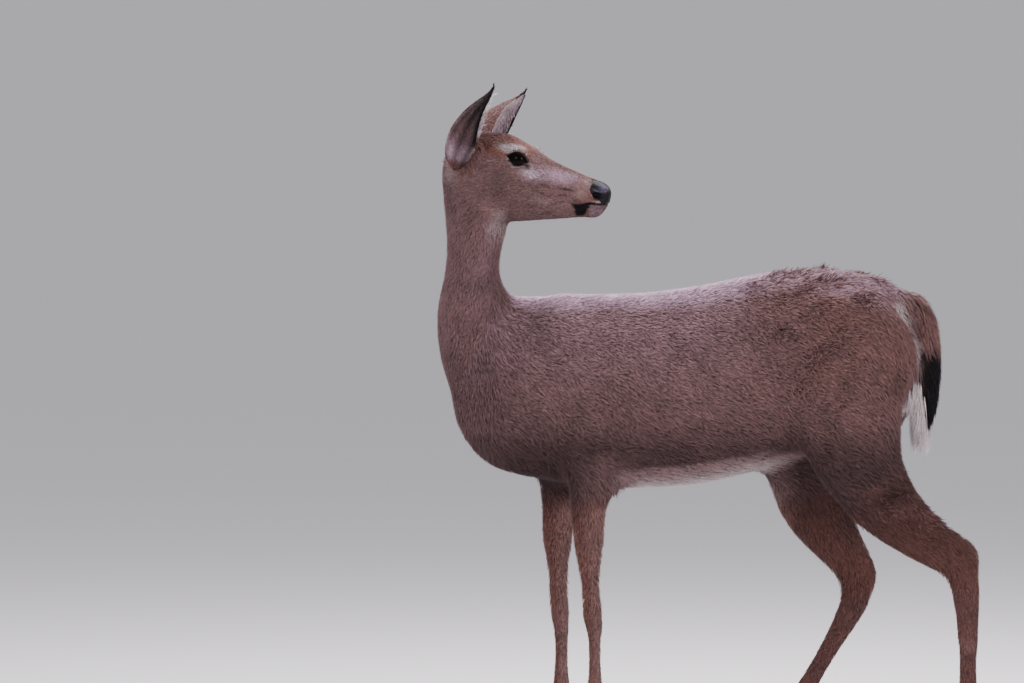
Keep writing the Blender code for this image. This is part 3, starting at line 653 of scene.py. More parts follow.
def ear_walls(side, root, tip, turned):
    """Corners of an ear's outer and inner wall, each on a grid of share by angle.

    A row is an arc about the ear's axis, open towards the front: centre plus radius times the cosine
    of the angle backwards plus its sine across. The inner wall has a smaller radius and low ribs.
    """
    axis = unit(tip - root)
    facing = cos(turned) * forward - sin(turned) * rightward * side
    facing = unit(facing - facing.dot(axis) * axis)
    across = np.cross(axis, facing)
    share, place, radius, half = eased(EAR_RINGS, ear_rows).T[:, :, None]
    angle = np.radians(half) * np.linspace(-1, 1, EAR_COLUMNS)
    out = np.cos(angle)[..., None] * -facing + np.sin(angle)[..., None] * across
    centre = root + (tip - root) * share[..., None] + facing * place[..., None]
    wall = np.minimum(EAR_WALL, radius * 0.5) * (0.6 + 0.4 * np.cos(angle * 0.8))
    ribs = 0.0009 * np.cos(angle * 9.0) * soft(share, 0.75, 0.25) * soft(np.abs(angle), 2.2, 1.2)
    outside = radius * (1 + 0.03 * np.sin(share * 9) * np.sin(angle * 2 + 1)) - 0.0007
    inside = outside - wall - np.maximum(ribs, 0)
    return [centre + wall_radius[..., None] * out for wall_radius in (outside, inside)]


def leaf_faces(rows, columns):
    """Faces of a closed sheet: the outer grid, the inner grid turned round, and the rim between."""
    half = rows * columns
    index = np.arange(half).reshape(rows, columns)
    a, b, c, d = index[:-1, :-1], index[:-1, 1:], index[1:, 1:], index[1:, :-1]
    outer = np.stack((a, d, c, b), -1).reshape(-1, 4)
    edge = np.concatenate((index[0, :], index[1:, -1], index[-1, -2::-1], index[-2:0:-1, 0]))
    onward = np.roll(edge, -1)
    rim = np.stack((edge, onward, half + onward, half + edge), -1)
    return np.vstack((outer, half + outer[:, ::-1], rim))


body_corners = len(places)
ear_size = EAR_ROWS * EAR_COLUMNS
ear_rows = 1.16 * np.linspace(0, 1, EAR_ROWS) ** 0.9 - 0.16
ear_lines = [[out_of_head(mirrored(place, side)) for place in line] for side, *line, _ in EARS.values()]
sheets, ear_faces, ear_notes = [], [], [np.zeros((body_corners, 4))]
for number, (side, _, _, turned) in enumerate(EARS.values(), 1):
    ear_faces.append(leaf_faces(EAR_ROWS, EAR_COLUMNS) + len(sheets) * ear_size)
    sheets += [wall.reshape(-1, 3) for wall in ear_walls(side, *ear_lines[number - 1], turned)]
    share, angle = np.meshgrid(ear_rows, np.linspace(-side, side, EAR_COLUMNS), indexing="ij")
    grid = (np.full(2 * ear_size, number), np.tile(share.ravel(), 2), np.tile(angle.ravel(), 2))
    ear_notes.append(np.stack((*grid, np.repeat((0.0, 1.0), ear_size)), axis=1))
# for every corner: which ear, share of its length, angle round it from -1 to 1, inner wall or not
ear_of, ear_share, ear_angle, ear_inside = np.vstack(ear_notes).T
places = np.vstack((places, *sheets))

joining = bmesh.new()
joining.from_mesh(skin_mesh)
ears_mesh = mesh_from("ears", places[body_corners:], np.vstack(ear_faces))
joining.from_mesh(ears_mesh)
skin_mesh = bpy.data.meshes.new("skin")
joining.to_mesh(skin_mesh)
joining.free()
bpy.data.meshes.remove(ears_mesh)
put_corners(skin_mesh, places)
smooth(skin_mesh)
skin = shown("skin", skin_mesh)
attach(skin, "root")
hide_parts(*PARTS, *EARS)

# ------------------------------------------------------------------------------ the markings
# A white-tailed doe's colours: brown, a red-brown crown and rump, white belly, inner legs, throat,
# chin and underside of the tail, and black nose, lips, lids and ear rims. Light and shade are also
# painted in. Painted highlight makes the top of the back and neck greyer and paler, the neck's left
# and rear sides greyer, and the top of the muzzle and the cheek below the eye lilac. Painted shade
# darkens the lower trunk and legs, the lower chest, the sides of the rump and thighs, the base of the
# neck, the muzzle's creases and the underside of the jaw, and greys the white belly and chin. Each
# corner of the skin holds how pale, dark, red and grey it is, painted light and shade included, and
# the coat takes it over.

MIDDLE_LINE = 0.0502
# lower edge of the flank's brown, from chest to groin, as x and z
BELLY_EDGE = ((-0.40, 0.53), (-0.15, 0.545), (-0.05, 0.552), (0.07, 0.572), (0.16, 0.600), (0.26, 0.635))
# patches of the head, mirrored: how strong, the middle and the reach in the head's measures
PALE_SPOTS = (
    (0.70, (-0.017, 0.046, 0.0620), (0.027, 0.022, 0.0090)),
    (0.38, (0.028, 0.046, 0.022), (0.022, 0.02, 0.012)),
    (0.30, (0.134, 0.03, 0.022), (0.014, 0.03, 0.016)),
    (0.26, (0.122, 0.03, 0.001), (0.013, 0.03, 0.013)),
    (0.42, (0.1555, 0.02, -0.0080), (0.0065, 0.03, 0.0030)),
    (0.12, (-0.049, 0.05, 0.033), (0.017, 0.03, 0.012)),
    (0.20, (0.055, 0.04, -0.026), (0.045, 0.03, 0.010)),
)
# in DARK_SPOTS, the second and third, two thin streaks on the muzzle, are painted shade in its folds
DARK_SPOTS = (
    (0.45, (-0.098, 0.05, 0.012), (0.022, 0.03, 0.020)),
    (0.66, (0.093, 0.03, 0.0040), (0.019, 0.03, 0.0030)),
    (0.60, (0.092, 0.03, -0.0075), (0.012, 0.03, 0.0024)),
    (0.26, (-0.035, 0.05, -0.015), (0.060, 0.05, 0.042)),
    (0.30, (0.020, 0.05, -0.034), (0.060, 0.04, 0.020)),
)
# in GREY_SPOTS, the first two, lilac on the top of the muzzle and on the cheek below and before the eye, are
# painted highlight
GREY_SPOTS = (
    (0.62, (0.080, 0.03, 0.026), (0.045, 0.03, 0.016)),
    (0.6, (0.030, 0.05, 0.020), (0.020, 0.03, 0.014)),
    (0.2, (-0.017, 0.046, 0.0620), (0.036, 0.022, 0.0120)),
)
# rear edge of the nose pad by height, and its lower edge by the distance forward
PAD_EDGE = (
    (-0.020, -0.010, -0.003, 0.012, 0.026, 0.034),
    (0.166, 0.161, 0.1475, 0.1355, 0.1380, 0.146),
)
PAD_FOOT = ((0.157, 0.165), (-0.0045, -0.013))

normals = normals_of(skin_mesh)
ends = edges_of(skin_mesh)
part = np.append(part, np.full(len(places) - body_corners, -1))
kinship = relaxed((part[:, None] == np.arange(len(PARTS))).astype(float), ends, 14, 0.5)
kinship[body_corners:] = 0
at_ear = ear_of > 0


def kin(*words):
    """How much each corner belongs to the parts with these words in their names, from 0 to 1."""
    return sum(share for share, name in zip(kinship.T, PARTS) if any(word in name for word in words))


def spot(middle, reach):
    """A soft round or oval patch about a place on both sides of the head."""
    return np.exp(-((((inner - middle) / reach) ** 2).sum(axis=1)))


def spots(table):
    """The patches of a table, each as strong as it says there."""
    return [strength * spot(middle, reach) for strength, middle, reach in table]


def most(*masks):
    """The strongest of several masks at each corner."""
    return np.maximum.reduce(masks)


def waves(points, size, seed):
    """Smooth unevenness between about -1 and 1: the mean of seven sine waves that run in all
    directions, with crests about size apart."""
    dice = np.random.default_rng(seed)
    ways = unit(dice.normal(size=(7, 3))) * (2 * pi / size) * dice.uniform(0.7, 1.4, (7, 1))
    return np.sin(points @ ways.T + dice.uniform(0, 2 * pi, 7)).mean(axis=1) * 1.9


x, y, z = places.T
to_rear, to_left, to_top = normals.T
to_crown = (normals @ head_turn.T)[:, 2]
off_middle = np.abs(y - MIDDLE_LINE)
inward = -to_left * np.sign(y - MIDDLE_LINE)
ahead, aside, above = in_head(places).T
inner = np.stack((ahead, np.abs(aside), above), axis=1)
trunk, tail, uppers, lowers, hind = (kin(word) for word in ("trunk", "tail", "upper", "lower", "hindleg"))
fore = kin("trunk", "neck")
torso = fore + uppers

# the tail's depth from its front at 0 to its back at 1, and where brown gives way to white on it
tail_x, _, tail_z = corners_of(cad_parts["tail"].data).T
tail_steps = np.linspace(tail_z.min(), tail_z.max(), 12)
slices = [tail_x[np.abs(tail_z - step) < 0.03] for step in tail_steps]
tail_front = np.interp(z, tail_steps, [slice_x.min() for slice_x in slices])
tail_rear = np.interp(z, tail_steps, [slice_x.max() for slice_x in slices])
tail_depth = (x - tail_front) / (tail_rear - tail_front)
tail_split = np.interp(z, (0.62, 0.68, 0.725, 0.75), (0.66, 0.58, 0.30, -0.40))
tail_back = soft(tail_depth - tail_split, -0.06, 0.06) * soft(to_rear, -0.95, -0.6)

belly_line = np.interp(x, *np.transpose(BELLY_EDGE))
# painted shade: the white belly is held at 0.18 to 0.48 of full white, the most where it faces straight down
belly = (0.18 + 0.30 * soft(-to_top, 0.75, 0.99)) * torso * soft(z, belly_line + 0.006, belly_line - 0.006)
belly *= soft(x, -0.21, -0.15) * soft(x, 0.20, 0.06)
belly *= soft(off_middle, 0.125, 0.105)
stern = soft(to_rear, 0.15, 0.55) * soft(x, 0.30, 0.345) * soft(off_middle, 0.058, 0.040)
root_rim = soft(x, 0.338, 0.352) * soft(z, 0.770, 0.81) * soft(off_middle, 0.060, 0.045)
throat = kin("neck", "head") * soft(to_rear, 0.15, 0.65) * bell(z, 1.005, 0.035) * soft(x, -0.46, -0.42)
hind_lowers = kin("hindleg_left_lower", "hindleg_right_lower")
pale = most(
    belly,
    0.36 * torso * soft(inward, 0.5, 0.95) * soft(x, 0.02, 0.10) * soft(z, 0.53, 0.61) * soft(z, 0.70, 0.62),
    0.18 * uppers * soft(inward, 0.45, 0.85) * soft(z, 0.53, 0.62),
    (trunk + uppers) * stern * soft(z, 0.56, 0.64) * soft(z, 0.83, 0.78),
    0.48 * trunk * root_rim * soft(to_rear, 0.4, 0.7),
)
pale = most(
    pale * (1 - tail),
    tail * (1 - tail_back),
    # painted highlight: the top of the back, where it faces up, a little paler
    0.11 * trunk * soft(to_top, 0.75, 1.0) * soft(z, 0.82, 0.86) * soft(x, 0.06, -0.10),
    0.26 * throat,
    0.13 * (hind_lowers * soft(-inward, 0.2, 0.7) * bell(z, 0.225, 0.016)),
    0.16 * (1 - hind) * (lowers + uppers) * soft(to_rear, -0.6, 0.4) * soft(z, 0.56, 0.46),
)

# painted shade from below: the trunk, hind legs and upper forelegs darker below about 0.7 m, lifted on the
# outer elbow and kept off pale hair
low_parts = trunk + hind + uppers * (1 - hind) * soft(z, 0.34, 0.52)
painted_low_shade = 0.41 * soft(z, 0.72, 0.58) + 0.14 * soft(z, 0.64, 0.55) * soft(z, 0.38, 0.48)
painted_low_shade -= 0.03 * soft(z, 0.42, 0.36)
elbow = 0.45 * soft(-inward, 0.2, 0.7) * bell(x, -0.198, 0.045) * soft(z, 0.59, 0.53) * soft(z, 0.30, 0.40)
painted_low_shade *= 1 - elbow
hock_patch = hind * soft(x, 0.22, 0.27) * soft(z, 0.43, 0.46) * soft(z, 0.585, 0.55)
dark = most(
    # the front and underside of the lower chest: the brisket's own darker brown, deepened by painted shade
    0.30 * fore * soft(to_rear, -0.35, -0.85) * soft(z, 0.78, 0.62) * soft(x, -0.40, -0.46),
    0.35 * trunk * soft(-to_top, 0.3, 0.8) * soft(x, -0.26, -0.34),
    tail * tail_back * np.maximum(soft(z + 0.012 * waves(places, 0.016, 42), 0.800, 0.770), 0.20),
    painted_low_shade * np.minimum(low_parts, 1) * (1 - soft(pale, 0.05, 0.20)),
    # between the forelegs and low on the front of the chest: darker brisket, deepened by painted shade
    0.60 * trunk * soft(z, 0.61, 0.53) * soft(x, -0.26, -0.36),
    0.34 * fore * soft(x, -0.33, -0.41) * soft(z, 0.90, 0.70),
    # painted shadow of the neck on the shoulder where they meet
    0.44 * fore * bell(x, -0.330, 0.032) * bell(z, 0.808, 0.050),
    # painted shade on the sides of the rump and thighs, away from the light above
    0.14 * trunk * soft(x, 0.16, 0.24) * soft(to_top, 0.6, 0.2),
    (0.56 * soft(waves(places, 0.022, 41), 0.1, 0.7)) * hock_patch,
    0.35 * (hind * soft(inward, 0.2, 0.7) * bell(z, 0.372, 0.018)),
    0.25 * lowers * soft(-to_rear, 0.3, 0.9) * (1 - hind),
    0.5 * lowers * soft(z, 0.075, 0.045),
)
red = 0.25 * torso + (0.25 + 0.20 * soft(z, 0.56, 0.42)) * uppers + 0.60 * lowers
red += 0.14 * trunk * soft(x, 0.05, 0.26) * soft(z, 0.60, 0.74)
red = most(red, tail * tail_back * 0.45)
grey = most(
    # painted highlight: the top of the back and neck greyer where it faces up, less so on the rump
    fore * soft(to_top, 0.35, 1.02) * soft(z, 0.80, 0.86) * (1 - 0.45 * soft(x, 0.02, 0.12)),
    # the trunk's own greyness, and more of it towards the top: painted light from above
    (0.10 + 0.18 * soft(z, 0.62, 0.84)) * trunk * soft(x, 0.25, -0.05),
    # painted light: the neck greyer on its left and rear sides
    (0.07 + 0.08 * soft(-to_left, 0.0, 0.6) + 0.08 * soft(to_rear, 0.0, 0.8)) * kin("neck"),
)

# the head: lids, nose pad, lips, the black spot beside the chin, the scent gland and the crown
head_share = kin("head")
looks, corner, lift = eye_axes(1)
from_eye = inner - EYE_IN_HEAD
out = from_eye @ looks
along, over = np.arctan2(from_eye @ corner, out), np.arctan2(from_eye @ lift, out)
from_lid = inside_lids(along, over)
by_eye = soft(np.linalg.norm(from_eye, axis=1), 0.036, 0.028) * soft(out, 0.0, 0.006)
lip = above - lip_height(ahead)
pad_edge, pad_foot = np.interp(above, *PAD_EDGE), np.interp(ahead, *PAD_FOOT)
pad = soft(ahead, pad_edge - 0.0012, pad_edge + 0.0012)
pad *= soft(above, pad_foot - 0.002, pad_foot + 0.002)
pad *= head_share
lip_line = bell(lip, -0.0006, 0.0026) * soft(ahead, 0.102, 0.112)
spot_half = 0.0168 + 0.34 * np.minimum(lip, 0) + 0.0012 * np.sin(above * 900 + ahead * 500)
chin_spot = soft(np.abs(ahead - 0.1290 - 0.16 * lip), spot_half + 0.0015, spot_half - 0.0015)
chin_spot *= soft(lip, 0.001, -0.001) * soft(lip, -0.0225, -0.0185)
under_lip = soft(lip, -0.001, -0.004)
tear, tear_share = from_line(inner, *GLAND)
tear = bell(tear, 0.0, 0.0036) * (inner[:, 1] > 0.012) * soft(tear_share, 1.0, 0.75)
ridge = soft(to_crown, 0.55, 0.90) * soft(ahead, -0.01, 0.03)
nape = spot((-0.128, 0.045, 0.005), (0.020, 0.04, 0.045))
pale_head = most(
    0.36 * by_eye * bell(from_lid, radians(-15), radians(6)) * soft(along, radians(-75), radians(-50)),
    0.26 * throat,
    0.06 * soft(ahead, 0.137, 0.147) * under_lip,
    0.12 * soft(-to_crown, 0.35, 0.80) * soft(ahead, -0.07, -0.03),
    0.27 * nape,
    *spots(PALE_SPOTS),
)
dark_head = most(
    pad,
    lip_line,
    chin_spot,
    0.8 * tear,
    by_eye * soft(from_lid, radians(-7.5), radians(-3.5)),
    0.30 * ridge * soft(ahead, 0.135, 0.10),
    0.55 * soft(ahead, 0.128, 0.138) * soft(above, 0.012, 0.024),
    0.35 * bell(lip, 0.006, 0.006) * soft(ahead, 0.10, 0.112) * soft(ahead, 0.128, 0.118),
    # painted shade under the back of the jaw, where it faces down
    0.34 * soft(-to_crown, 0.2, 0.7) * soft(ahead, -0.06, -0.02),
    # painted shade on the white chin's front, below the lip, with its grey in grey_head
    0.46 * soft(ahead, 0.137, 0.147) * under_lip,
    0.38 * soft(above - 0.12 * ahead, 0.046, 0.066) * soft(ahead, 0.02, -0.03),
    *spots(DARK_SPOTS),
)
# painted shade in the creases of the muzzle and cheek
for fold in FOLDS[2:]:
    crease, share = from_line(inner, *fold)
    dark_head = most(dark_head, 0.50 * bell(crease, 0.0, 0.0020) * np.sin(pi * share) * (inner[:, 1] > 0.006))
red_head = most(
    0.22 + 0.78 * soft(above - 0.12 * ahead, 0.040, 0.060) * soft(ahead, 0.055, 0.005),
    0.45 * ridge,
    0.55 * spot((-0.098, 0.05, 0.012), (0.030, 0.03, 0.026)),
    0.50 * soft(ahead, 0.105, 0.118),
    0.4 * nape,
)
# the chin's grey below the lip is part of its painted shade
grey_head = sum(spots(GREY_SPOTS), 0.44 * soft(ahead, 0.139, 0.146) * under_lip)

# the ears: brown behind, white within but for the root, and a black rim that widens to the tip
behind_ear = at_ear * (1 - ear_inside)
rim = at_ear * soft(np.abs(ear_angle), 0.86, 0.95)
rim_dark = rim * np.maximum(soft(ear_share, 0.14, 0.30) * (ear_angle < 0), soft(ear_share, 0.72, 0.85))
root_inside = ear_inside * soft(ear_angle, 0.0, 0.4) * soft(ear_share, 0.36, 0.16)
white_within = 0.42 * soft(ear_angle, 0.10, 0.55) * soft(ear_share, 0.16, 0.36)
white_within = 0.10 + 0.45 * soft(ear_angle, -0.70, -0.25) + white_within
pale_ear = most(
    ear_inside * white_within * soft(ear_share, 1.0, 0.86),
    0.20 * behind_ear * soft(ear_share, 0.25, 0.10) * soft(ear_share, -0.06, 0.06),
)
pale_ear = most(
    pale_ear * (1 - 0.95 * rim_dark),
    0.30 * rim * soft(ear_share, 0.30, 0.14) * soft(ear_share, 0.04, 0.12),
)
pale_ear *= 1 - 0.9 * root_inside
dark_ear = behind_ear * (0.49 + 0.24 * soft(ear_share, 0.40, 0.85)) * (1 - 0.7 * soft(ear_angle, 0.25, 0.6))
dark_ear *= 1 - 0.45 * soft(ear_share, 0.40, 0.10) * (1 - 0.8 * soft(ear_angle, -0.25, -0.6))
streaked = 0.10 * behind_ear * np.sin(ear_angle * 21 + ear_share * 5)
dark_ear += 0.16 * behind_ear * soft(ear_angle, -0.35, -0.75) + streaked
dark_ear = most(
    dark_ear,
    0.96 * rim_dark,
    0.95 * at_ear * soft(ear_share, 0.90, 0.96),
    0.35 * ear_inside * soft(ear_share, 0.16, 0.0),
    0.26 * ear_inside * soft(ear_angle, -0.45, -0.75),
    0.38 * behind_ear * soft(ear_angle, 0.1, 0.5),
    0.26 * behind_ear * soft(ear_share, 0.03, -0.07),
    0.30 * root_inside,
)
red_ear = behind_ear * (0.30 + 0.40 * soft(ear_angle, 0.2, 0.7) + 0.5 * soft(ear_share, 0.03, -0.07))
red_ear = 0.6 * root_inside + red_ear
grey_ear = behind_ear * (0.18 + 0.39 * soft(ear_share, 0.35, 0.1)) * soft(ear_share, -0.08, 0.03)
grey_ear = 0.75 * ear_inside * (1 - root_inside) + grey_ear

on_body = np.stack((pale, dark, red, grey), axis=1)
on_head = np.stack((pale_head, dark_head, red_head, grey_head), axis=1)
on_ears = np.stack((pale_ear, dark_ear, red_ear, grey_ear), axis=1)
off_ears = on_body * (1 - head_share[:, None]) + on_head * head_share[:, None]
markings = np.clip(np.where(at_ear[:, None], on_ears, off_ears), 0, 1)


def carry(mesh, name, values):
    """Four values at each corner, kept on the mesh as a colour attribute."""
    layer = mesh.attributes.new(name, "FLOAT_COLOR", "POINT")
    layer.data.foreach_set("color", np.asarray(values, dtype=np.float32).ravel())


carry(skin_mesh, "markings", markings)

# ------------------------------------------------------------------------------ hair and bare skin
# Every colour of hair is mixed from the markings, and grain along each hair and chance from lock to
# lock lighten or darken it. The nose pad, lids and lips are bare, black and moist, and a bluish
# reflection of the sky is painted on the pad above each nostril.

BROWN = (0.190, 0.110, 0.110, 1)
RED_BROWN = (0.190, 0.080, 0.064, 1)
GREY_BROWN = (0.480, 0.325, 0.415, 1)
WHITE = (0.80, 0.72, 0.73, 1)
BLACK = (0.0035, 0.0025, 0.0035, 1)
# painted reflection: the bluish colour of the sky's glint on the wet nose pad
PAD_GLINT = (0.092, 0.074, 0.118, 1)
# the painted bluish reflection of the sky on the nose pad above the nostril, as ahead and above
GLINT_LINE = ((0.1450, 0.0130), (0.1560, 0.0105), (0.1660, 0.0140))


def hair_colour(finish, along, chance):
    """Brown hair, then redder, greyer, paler and darker by the markings, then lit along its length."""
    paleness, darkness, redness, greyness = finish.attribute("markings")
    patches = finish.noise(22.0, 3.0)
    flecks = finish.noise(230.0, 2.0)
    colour = (redness + (patches - 0.5) * 0.35).ramp(0.05, 0.95).mix(BROWN, RED_BROWN)
    colour = (greyness + (patches - 0.5) * 0.5 * greyness).ramp(0.0, 1.0).mix(colour, GREY_BROWN)
    colour = paleness.ramp(0.02, 0.95).mix(colour, WHITE)
    colour = darkness.ramp(0.0, 0.95).mix(colour, BLACK)
    light = 0.62 + along * 0.40 + (chance - 0.5) * 0.95 + (patches - 0.5) * 0.60 + (flecks - 0.5) * 0.80
    return finish.start.node("ShaderNodeHueSaturation", {"Value": light, "Color": colour})


in_nostril = spot(NOSTRIL, NOSTRIL_REACH)
# painted reflection of the sky on the nose pad: a spot above the nostril and a line along its top, kept out
# of the nostril
painted_glint = most(
    spot((0.160, 0.010, 0.0180), (0.0085, 0.012, 0.0060)),
    *(0.9 * bell(from_line(inner, *line)[0], 0.0, 0.0015) for line in zip(GLINT_LINE, GLINT_LINE[1:])),
)
painted_glint *= pad * head_share
painted_glint *= 1 - in_nostril
moist = most(pad, 0.4 * lip_line, 0.15 * by_eye * soft(from_lid, radians(-6), radians(-3))) * head_share
moist *= (1 - 0.9 * in_nostril) * (1 - 0.6 * pad * soft(above, 0.018, 0.028))
none = np.zeros(len(places))
# the skin keeps its wetness and the share of the painted reflection on the nose pad
carry(skin_mesh, "moist", np.stack((moist, painted_glint, none, none), axis=1))
skin_finish = Finish("skin_and_short_fur", Specular_IOR_Level=0.10, Coat_Roughness=0.24)
wet, bluish, _, _ = skin_finish.attribute("moist")
fine = skin_finish.noise(900.0, 3.0)
hair_and_skin = hair_colour(skin_finish, fine, skin_finish.noise(420.0, 2.0))
# the painted bluish reflection is mixed into the nose pad's colour
glisten = bluish * (0.35 + skin_finish.noise(260.0, 2.0).ramp(0.35, 0.65) * 0.65)
skin_finish.wire("Base Color", glisten.mix(hair_and_skin, PAD_GLINT))
skin_finish.wire("Roughness", 0.74 - wet * 0.34)
skin_finish.wire("Coat Weight", wet * 0.11)
pebbles = skin_finish.cells(750.0)
skin_finish.bump(fine * (1.0 - wet) + pebbles * wet * 1.2, 0.6, 0.0006)
skin_mesh.materials.append(skin_finish.material)

# ------------------------------------------------------------------------------ the eyes
# A large dark eye on each side, nearly filled by its brown iris, with a level oval pupil and a clear
# wet front that bulges a little. It sits in the socket behind the lids, whose edges are black.

EYE_SHOWN = 0.0181
# the clear front's height above the ball, and the angle over which it falls away
CORNEA = 0.0011
CORNEA_REACH = 0.62
EYE_RINGS, EYE_SPOKES = 47, 64
LID_STEPS, LID_SIDES = 96, 8
PUPIL = (0.0010, 0.0010, 0.0014, 1)
IRIS_DARK, IRIS_BROWN = (0.0016, 0.0009, 0.0007, 1), (0.005, 0.0026, 0.0018, 1)
IRIS_EDGE = (0.004, 0.003, 0.0025, 1)
LID_DARK, LID_BROWN = (0.002, 0.0015, 0.0015, 1), (0.008, 0.005, 0.005, 1)


def ring_faces(index):
    """Squares of a grid of corner numbers that closes round from its last column to its first."""
    onward = np.roll(index, -1, axis=1)
    return np.stack((index[:-1], index[1:], onward[1:], onward[:-1]), -1).reshape(-1, 4)


def eyeball(side):
    """A ball about the way the eye looks, with a low bulge in front: radius plus a bell of the angle
    from that way. The grid runs by the angle from the front and by the turn about it."""
    looks, corner, lift = eye_axes(side)
    tilt = np.linspace(0, pi, EYE_RINGS + 2)[1:-1, None]
    turn = np.linspace(0, 2 * pi, EYE_SPOKES, endpoint=False)[None, :]
    radius = EYE_SHOWN + CORNEA * np.exp(-((tilt / CORNEA_REACH) ** 2))
    spread = radius * np.sin(tilt)
    grid = (radius * np.cos(tilt) + 0 * turn)[..., None] * looks
    grid = grid + (spread * np.cos(turn))[..., None] * corner + (spread * np.sin(turn))[..., None] * lift
    poles = np.array((looks * (EYE_SHOWN + CORNEA), -looks * EYE_SHOWN))
    corners = out_of_head(np.vstack((grid.reshape(-1, 3), poles)) + mirrored(EYE_IN_HEAD, side))
    index = np.arange(EYE_RINGS * EYE_SPOKES).reshape(EYE_RINGS, EYE_SPOKES)
    front, back = (np.full(EYE_SPOKES, index.size + pole) for pole in (0, 1))
    sides = ring_faces(index)
    front_cap = np.stack((np.roll(index[0], -1), front, index[0]), -1)
    back_cap = np.stack((index[-1], back, np.roll(index[-1], -1)), -1)
    triangles = np.vstack((sides[:, [0, 1, 2]], sides[:, [0, 2, 3]], front_cap, back_cap))
    gaze = np.stack(((tilt * np.cos(turn)).ravel(), (tilt * np.sin(turn)).ravel()), 1)
    return corners, triangles, np.vstack((gaze, ((0, 0), (pi, 0))))


def facing_out(mesh):
    """Turns all faces of a closed mesh outwards."""
    work = bmesh.new()
    work.from_mesh(mesh)
    bmesh.ops.recalc_face_normals(work, faces=work.faces)
    work.to_mesh(mesh)
    work.free()


eye_finish = Finish("wet_eye", Coat_Weight=0.07, Coat_Roughness=0.02, Specular_IOR_Level=0.015)
across, upright, _, _ = eye_finish.attribute("gaze")
across, upright = across - 0.5, upright - 0.5
radius = (across * across + upright * upright) ** 0.5
pupil = (across * across * 5.5 + upright * upright * 13.0) ** 0.5
streaks = eye_finish.noise(1500.0, 2.0)
iris = (streaks * 0.6 + radius.ramp(0.05, 0.22) * 0.5).mix(IRIS_DARK, IRIS_BROWN)
round_pupil = radius.ramp(0.235, 0.26).mix(iris, IRIS_EDGE)
eye_finish.wire("Base Color", pupil.ramp(0.24, 0.29).mix(PUPIL, round_pupil))
eye_finish.wire("Roughness", streaks * 0.04 + 0.08)

lid_finish = Finish("lid_edge", Specular_IOR_Level=0.15)
lid_finish.wire("Base Color", lid_finish.noise(800.0).mix(LID_DARK, LID_BROWN))
lid_finish.wire("Roughness", lid_finish.noise(600.0) * 0.2 + 0.3)


def lid_ring(side):
    """The edge of both lids as a closed cord: out along the upper lid's edge and back along the
    lower one's, just above the eyeball, thinner at the outer corner."""
    looks, corner, lift = eye_axes(side)
    turn = np.linspace(0, 2 * pi, LID_STEPS, endpoint=False)
    reach = OPENING[0] * np.cos(turn)
    top, bottom = lid_edge(reach)
    rise = np.where(turn < pi, top, bottom)
    way = np.cos(rise)[:, None] * (np.cos(reach)[:, None] * looks + np.sin(reach)[:, None] * corner)
    way = way + np.sin(rise)[:, None] * lift
    path = way * (EYE_SHOWN + 0.0009)
    tangent = unit(np.roll(path, -1, axis=0) - np.roll(path, 1, axis=0))
    beside = unit(np.cross(tangent, way))
    about = np.linspace(0, 2 * pi, LID_SIDES, endpoint=False)[None, :, None]
    thick = 0.0010 + 0.0003 * np.sin(turn)
    ring = np.cos(about) * way[:, None] * 0.8 + np.sin(about) * beside[:, None]
    tube = path[:, None] + thick[:, None, None] * ring
    index = np.arange(LID_STEPS * LID_SIDES).reshape(LID_STEPS, LID_SIDES)
    faces = ring_faces(np.vstack((index, index[:1])))
    return out_of_head(tube.reshape(-1, 3) + mirrored(EYE_IN_HEAD, side)), faces


for side_name, side in (("right", 1), ("left", -1)):
    corners, faces, gaze = eyeball(side)
    ball = mesh_from(f"eyeball_{side_name}", corners, faces)
    facing_out(ball)
    carry(ball, "gaze", np.column_stack((gaze / pi + 0.5, np.zeros((len(gaze), 2)))))
    eye = shown(f"eyeball_{side_name}", ball, eye_finish.material)
    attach(eye, "root")
    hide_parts(f"eye_{side_name}")
    ring = mesh_from(f"lids_{side_name}", *lid_ring(side))
    facing_out(ring)
    lids = shown(f"lids_{side_name}", ring, lid_finish.material)
    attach(lids, "root")

# ------------------------------------------------------------------------------ the hooves
# Each foot stands on two claws of horn, with two dewclaws above and behind. They are the CAD claws
# with their edges rounded, black and faintly ringed.

ROUNDED = {"levels": 2, "render_levels": 2, "boundary_smooth": "ALL"}
HORN_BLACK, HORN_BROWN = (0.006, 0.005, 0.0045, 1), (0.030, 0.023, 0.019, 1)

horn_finish = Finish("horn", Specular_IOR_Level=0.2)
rings = horn_finish.noise(160.0, 3.0, stretch=(0.2, 0.2, 3.0))
horn_finish.wire("Base Color", rings.mix(HORN_BLACK, HORN_BROWN))
horn_finish.wire("Roughness", rings * 0.25 + 0.32)
horn_finish.bump(rings, 0.5, 0.0008)
for leg in LEGS:
    for claw in ("claw_inner", "claw_outer", "dewclaw_inner", "dewclaw_outer"):
        claw_mesh = with_modifier(solids_together((f"{leg}_{claw}",), 0.0), "SUBSURF", **ROUNDED)
        smooth(claw_mesh)
        hoof = shown(f"{leg}_{claw}_horn", claw_mesh, horn_finish.material)
        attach(hoof, "root")
        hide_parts(f"{leg}_{claw}")

# ------------------------------------------------------------------------------ the coat
# Thousands of thin locks of hair, each a solid sliver that starts in the skin, follows the way the
# coat lies and tapers to a tip. They overlap like shingles, shortest on the face and feet.

# way of the lie in the frame's own axes, before it is smoothed and laid onto the skin
NECK_LIE = (-0.38, 0.0, -1.0)
BACK_LIE = (1.0, 0.0, -0.06)
SIDE_LIE = (1.0, 0.0, -0.42)
CHEST_LIE = (0.12, 0.0, -1.0)
STERN_LIE = (0.15, 0.0, -1.0)
